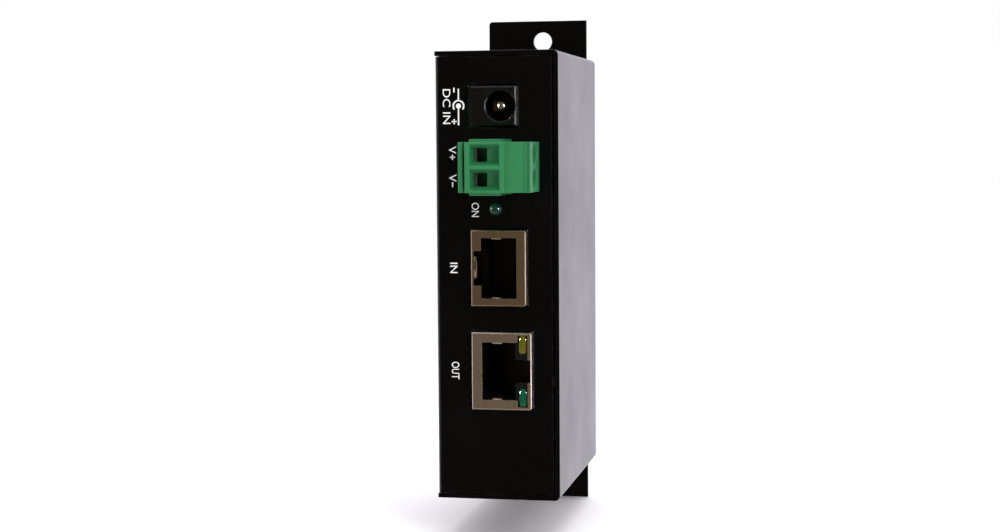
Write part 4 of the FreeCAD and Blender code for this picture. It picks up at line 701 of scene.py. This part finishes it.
# -- rail clip spring -------------------------------------------------------------------------
def clip_spring():
    """Coil spring with closed ends, as long as the CAD spring."""
    low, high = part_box("rail_clip_spring")
    latch = next(joint for joint in frame["joints"] if joint["name"] == "latch_slide")
    length, stroke = high.z - low.z, latch["range_m"][1]
    wire_mm, turns, steps = 0.2, 8.5, 36
    # The closed turns at each end rise by closed_rise only.
    closed, closed_rise = 0.9, 0.4 * MM
    wire = wire_mm * MM
    centre = (low + high) / 2
    radius = (high.x - low.x) / 2 - wire
    open_rise = length - 2 * wire - 2 * closed_rise
    path = []
    for i in range(int(turns * steps) + 1):
        turn = i / steps
        share = min(max((turn - closed) / (turns - 2 * closed), 0.0), 1.0)
        ends = min(turn, closed) + max(turn - turns + closed, 0)
        level = closed_rise * ends / closed + share * open_rise
        path.append(Vector((centre.x + radius * math.cos(2 * math.pi * turn),
                            centre.y + radius * math.sin(2 * math.pi * turn),
                            low.z + wire + level)))
    coil = add_piece("clip_coil", tube("clip_coil", path, wire_mm), "spring_steel", "box")
    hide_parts("rail_clip_spring")
    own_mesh(coil)


# -- studio -----------------------------------------------------------------------------------
WHITE = (1.0, 1.0, 1.0)
WARM = (1.0, 0.74, 0.66)
FRONT_LIGHT = (0.100, 0.080, 0.062)
REAR_LIGHT = (1.72, 1.67, 1.81)
TABLE_LIGHT = (0.50, 0.47, 0.42)


def studio():
    """Pale floor that fades into a white surround, dark in front, with soft lamps around it."""
    pale_floor()
    surround()
    glints()
    fills()
    bpy.context.scene.view_settings.view_transform = "Standard"


def glints():
    """Lamps that each light one group of pieces only, for the highlights on their edges."""
    lenses = group_of("lenses", ("power_lamp_lens", "jack_lamp_yellow", "jack_lamp_green",
                                 "dc_jack_pin"))
    socket = group_of("socket", ("dc_jack_body",))
    panel = group_of("panel", ("base_chassis",))
    shields = group_of("shields", ("lan_jack_shield", "poe_jack_shield"))
    # name, place, width, height in metres, watts, colour, group that receives the light
    lamps = (
        ("left_glint", (-0.84, -0.55, 0.16), 0.14, 0.14, 10.0, WHITE, lenses),
        ("right_glint", (0.80, -0.60, 0.16), 0.14, 0.14, 10.0, WHITE, lenses),
        ("left_strip", (-0.96, -0.25, 0.0), 0.05, 0.6, 0.9, WHITE, panel),
        ("right_strip", (0.97, -0.16, -0.02), 0.12, 0.8, 2.2, WHITE, panel),
        ("socket_strip", (0.97, -0.16, -0.02), 0.12, 0.8, 4.0, WHITE, socket),
        ("shield_strip", (0.97, -0.16, -0.02), 0.12, 0.8, 1.0, WHITE, shields),
        ("shield_top", (-0.17, -0.80, 0.57), 0.2, 0.2, 0.5, WHITE, shields),
        ("shield_front", (-0.21, -1.18, -0.08), 1.2, 1.2, 0.21, WARM, shields),
    )
    for name, at, wide, tall, power, colour, receivers in lamps:
        glint = soft_light(name, at, wide, tall, power)
        glint.data.color = colour
        glint.light_linking.receiver_collection = receivers


def fills():
    """Soft lamps that light everything and are not seen as reflections."""
    # name, place, side in metres, watts
    lamps = (
        ("right_fill", (0.62, -0.66, 0.30), 0.5, 4.2),
        ("top_fill", (0.1, -0.50, 0.75), 0.5, 4.2),
        ("left_fill", (-0.6, -0.66, 0.1), 0.4, 0.9),
    )
    for name, at, side, power in lamps:
        soft_light(name, at, side, side, power).visible_glossy = False


def group_of(name, members):
    """Collection of objects that share the light of some lamps."""
    group = bpy.data.collections.new(name)
    for member in members:
        group.objects.link(bpy.data.objects[member])
    return group


def pale_floor():
    """Slab under the part. It turns into plain backdrop with distance."""
    half, top, bottom = 4.0, cad_box[0].z - 0.1 * MM, cad_box[0].z - 20 * MM
    floor = prism("floor", [(-half, -half), (half, -half), (half, half), (-half, half)],
                  bottom, top, axes="xy")
    thing = bpy.data.objects.new("floor", floor)
    bpy.context.scene.collection.objects.link(thing)
    thing.visible_glossy = False
    floor.materials.append(floor_finish())


def floor_finish():
    f = Finish("pale_floor")
    cloud = f.noise(3.0, 3.0)
    tone = f.blend(f.spread(cloud, 0.3, 0.7, 0, 1), (0.92, 0.92, 0.925), (0.95, 0.95, 0.955))
    f.set(Base_Color=tone, Roughness=0.7, Specular_IOR_Level=0.1)
    away = f.node("ShaderNodeVectorMath", operation="LENGTH")
    f.feed(away.inputs[0], f.place)
    fade = f.spread(away.outputs["Value"], 0.10, 0.34, 0.0, 1.0)
    glow = f.node("ShaderNodeEmission")
    f.feed(glow.inputs["Color"], WHITE)
    both = f.node("ShaderNodeMixShader")
    f.feed(both.inputs["Fac"], fade)
    f.feed(both.inputs[1], f.shader.outputs["BSDF"])
    f.feed(both.inputs[2], glow.outputs["Emission"])
    f.feed(f.tree.nodes["Material Output"].inputs["Surface"], both.outputs["Shader"])
    return f.material


def surround():
    """World seen white by the camera. Its light is bright behind the part and dim in front.

    Reflections miss the floor, so the light from below stands for it.
    """
    world = bpy.data.worlds.new("studio")
    bpy.context.scene.world = world
    world.use_nodes = True
    tree = world.node_tree
    tree.nodes.clear()
    link = tree.links.new

    def ramp(source, start, end):
        """0 at start, 1 at end, smooth between."""
        made = tree.nodes.new("ShaderNodeMapRange")
        made.interpolation_type = "SMOOTHSTEP"
        made.inputs["From Min"].default_value = start
        made.inputs["From Max"].default_value = end
        link(source, made.inputs["Value"])
        return made.outputs["Result"]

    def mixed(share):
        made = tree.nodes.new("ShaderNodeMix")
        made.data_type = "RGBA"
        link(share, made.inputs[MIX_SHARE])
        return made

    facing = tree.nodes.new("ShaderNodeSeparateXYZ")
    link(tree.nodes.new("ShaderNodeTexCoord").outputs["Generated"], facing.inputs[0])
    room = mixed(ramp(facing.outputs["Y"], -0.55, 0.45))
    room.inputs[MIX_FIRST].default_value = (*FRONT_LIGHT, 1)
    room.inputs[MIX_LAST].default_value = (*REAR_LIGHT, 1)
    whole = mixed(ramp(facing.outputs["Z"], -0.3, -0.8))
    link(room.outputs[MIX_RESULT], whole.inputs[MIX_FIRST])
    whole.inputs[MIX_LAST].default_value = (*TABLE_LIGHT, 1)
    lit = tree.nodes.new("ShaderNodeBackground")
    link(whole.outputs[MIX_RESULT], lit.inputs["Color"])
    seen = tree.nodes.new("ShaderNodeBackground")
    seen.inputs["Color"].default_value = (*WHITE, 1)
    choose = tree.nodes.new("ShaderNodeMixShader")
    link(tree.nodes.new("ShaderNodeLightPath").outputs["Is Camera Ray"], choose.inputs["Fac"])
    link(lit.outputs[0], choose.inputs[1])
    link(seen.outputs[0], choose.inputs[2])
    out = tree.nodes.new("ShaderNodeOutputWorld")
    link(choose.outputs[0], out.inputs["Surface"])


def soft_light(name, at, wide, tall, power):
    """Area lamp that faces the origin."""
    lamp = bpy.data.lights.new(name, "AREA")
    lamp.shape = "RECTANGLE"
    lamp.size = wide
    lamp.size_y = tall
    lamp.energy = power
    thing = bpy.data.objects.new(name, lamp)
    thing.location = at
    thing.rotation_euler = (-Vector(at)).to_track_quat("-Z", "Y").to_euler()
    bpy.context.scene.collection.objects.link(thing)
    return thing


# -- camera -----------------------------------------------------------------------------------
# Eye point, view direction, turn about that direction in radians, and focal length.
EYE = Vector((0.073624, -0.426414, 0.028365))
GAZE = Vector((-0.19399, 0.97861, -0.06850))
ROLL = -0.007
FOCAL_MM = 65.08


def camera():
    """Viewpoint in front of the box, a little above and to the right of it."""
    lens = bpy.data.cameras.new("view")
    lens.sensor_width = 36.0
    lens.lens = FOCAL_MM
    lens.clip_start = 10 * MM
    ahead = GAZE.normalized()
    side = ahead.cross(Vector((0, 0, 1))).normalized()
    above = side.cross(ahead)
    right = side * math.cos(ROLL) + above * math.sin(ROLL)
    up = above * math.cos(ROLL) - side * math.sin(ROLL)
    pose = Matrix((right, up, -ahead)).transposed().to_4x4()
    pose.translation = EYE
    thing = bpy.data.objects.new("view", lens)
    thing.matrix_world = pose
    bpy.context.scene.collection.objects.link(thing)
    bpy.context.scene.camera = thing


# ---------------------------------------------------------------------------------------------
# Build
# ---------------------------------------------------------------------------------------------
dress_nodes()
for part_name, width in EDGE_MM.items():
    soften(nodes[part_name], width)
legends()
power_lamp()
for tint in LAMP_FINISH:
    bar_lamp(tint)
latch_spring()
clip_spring()
studio()
camera()
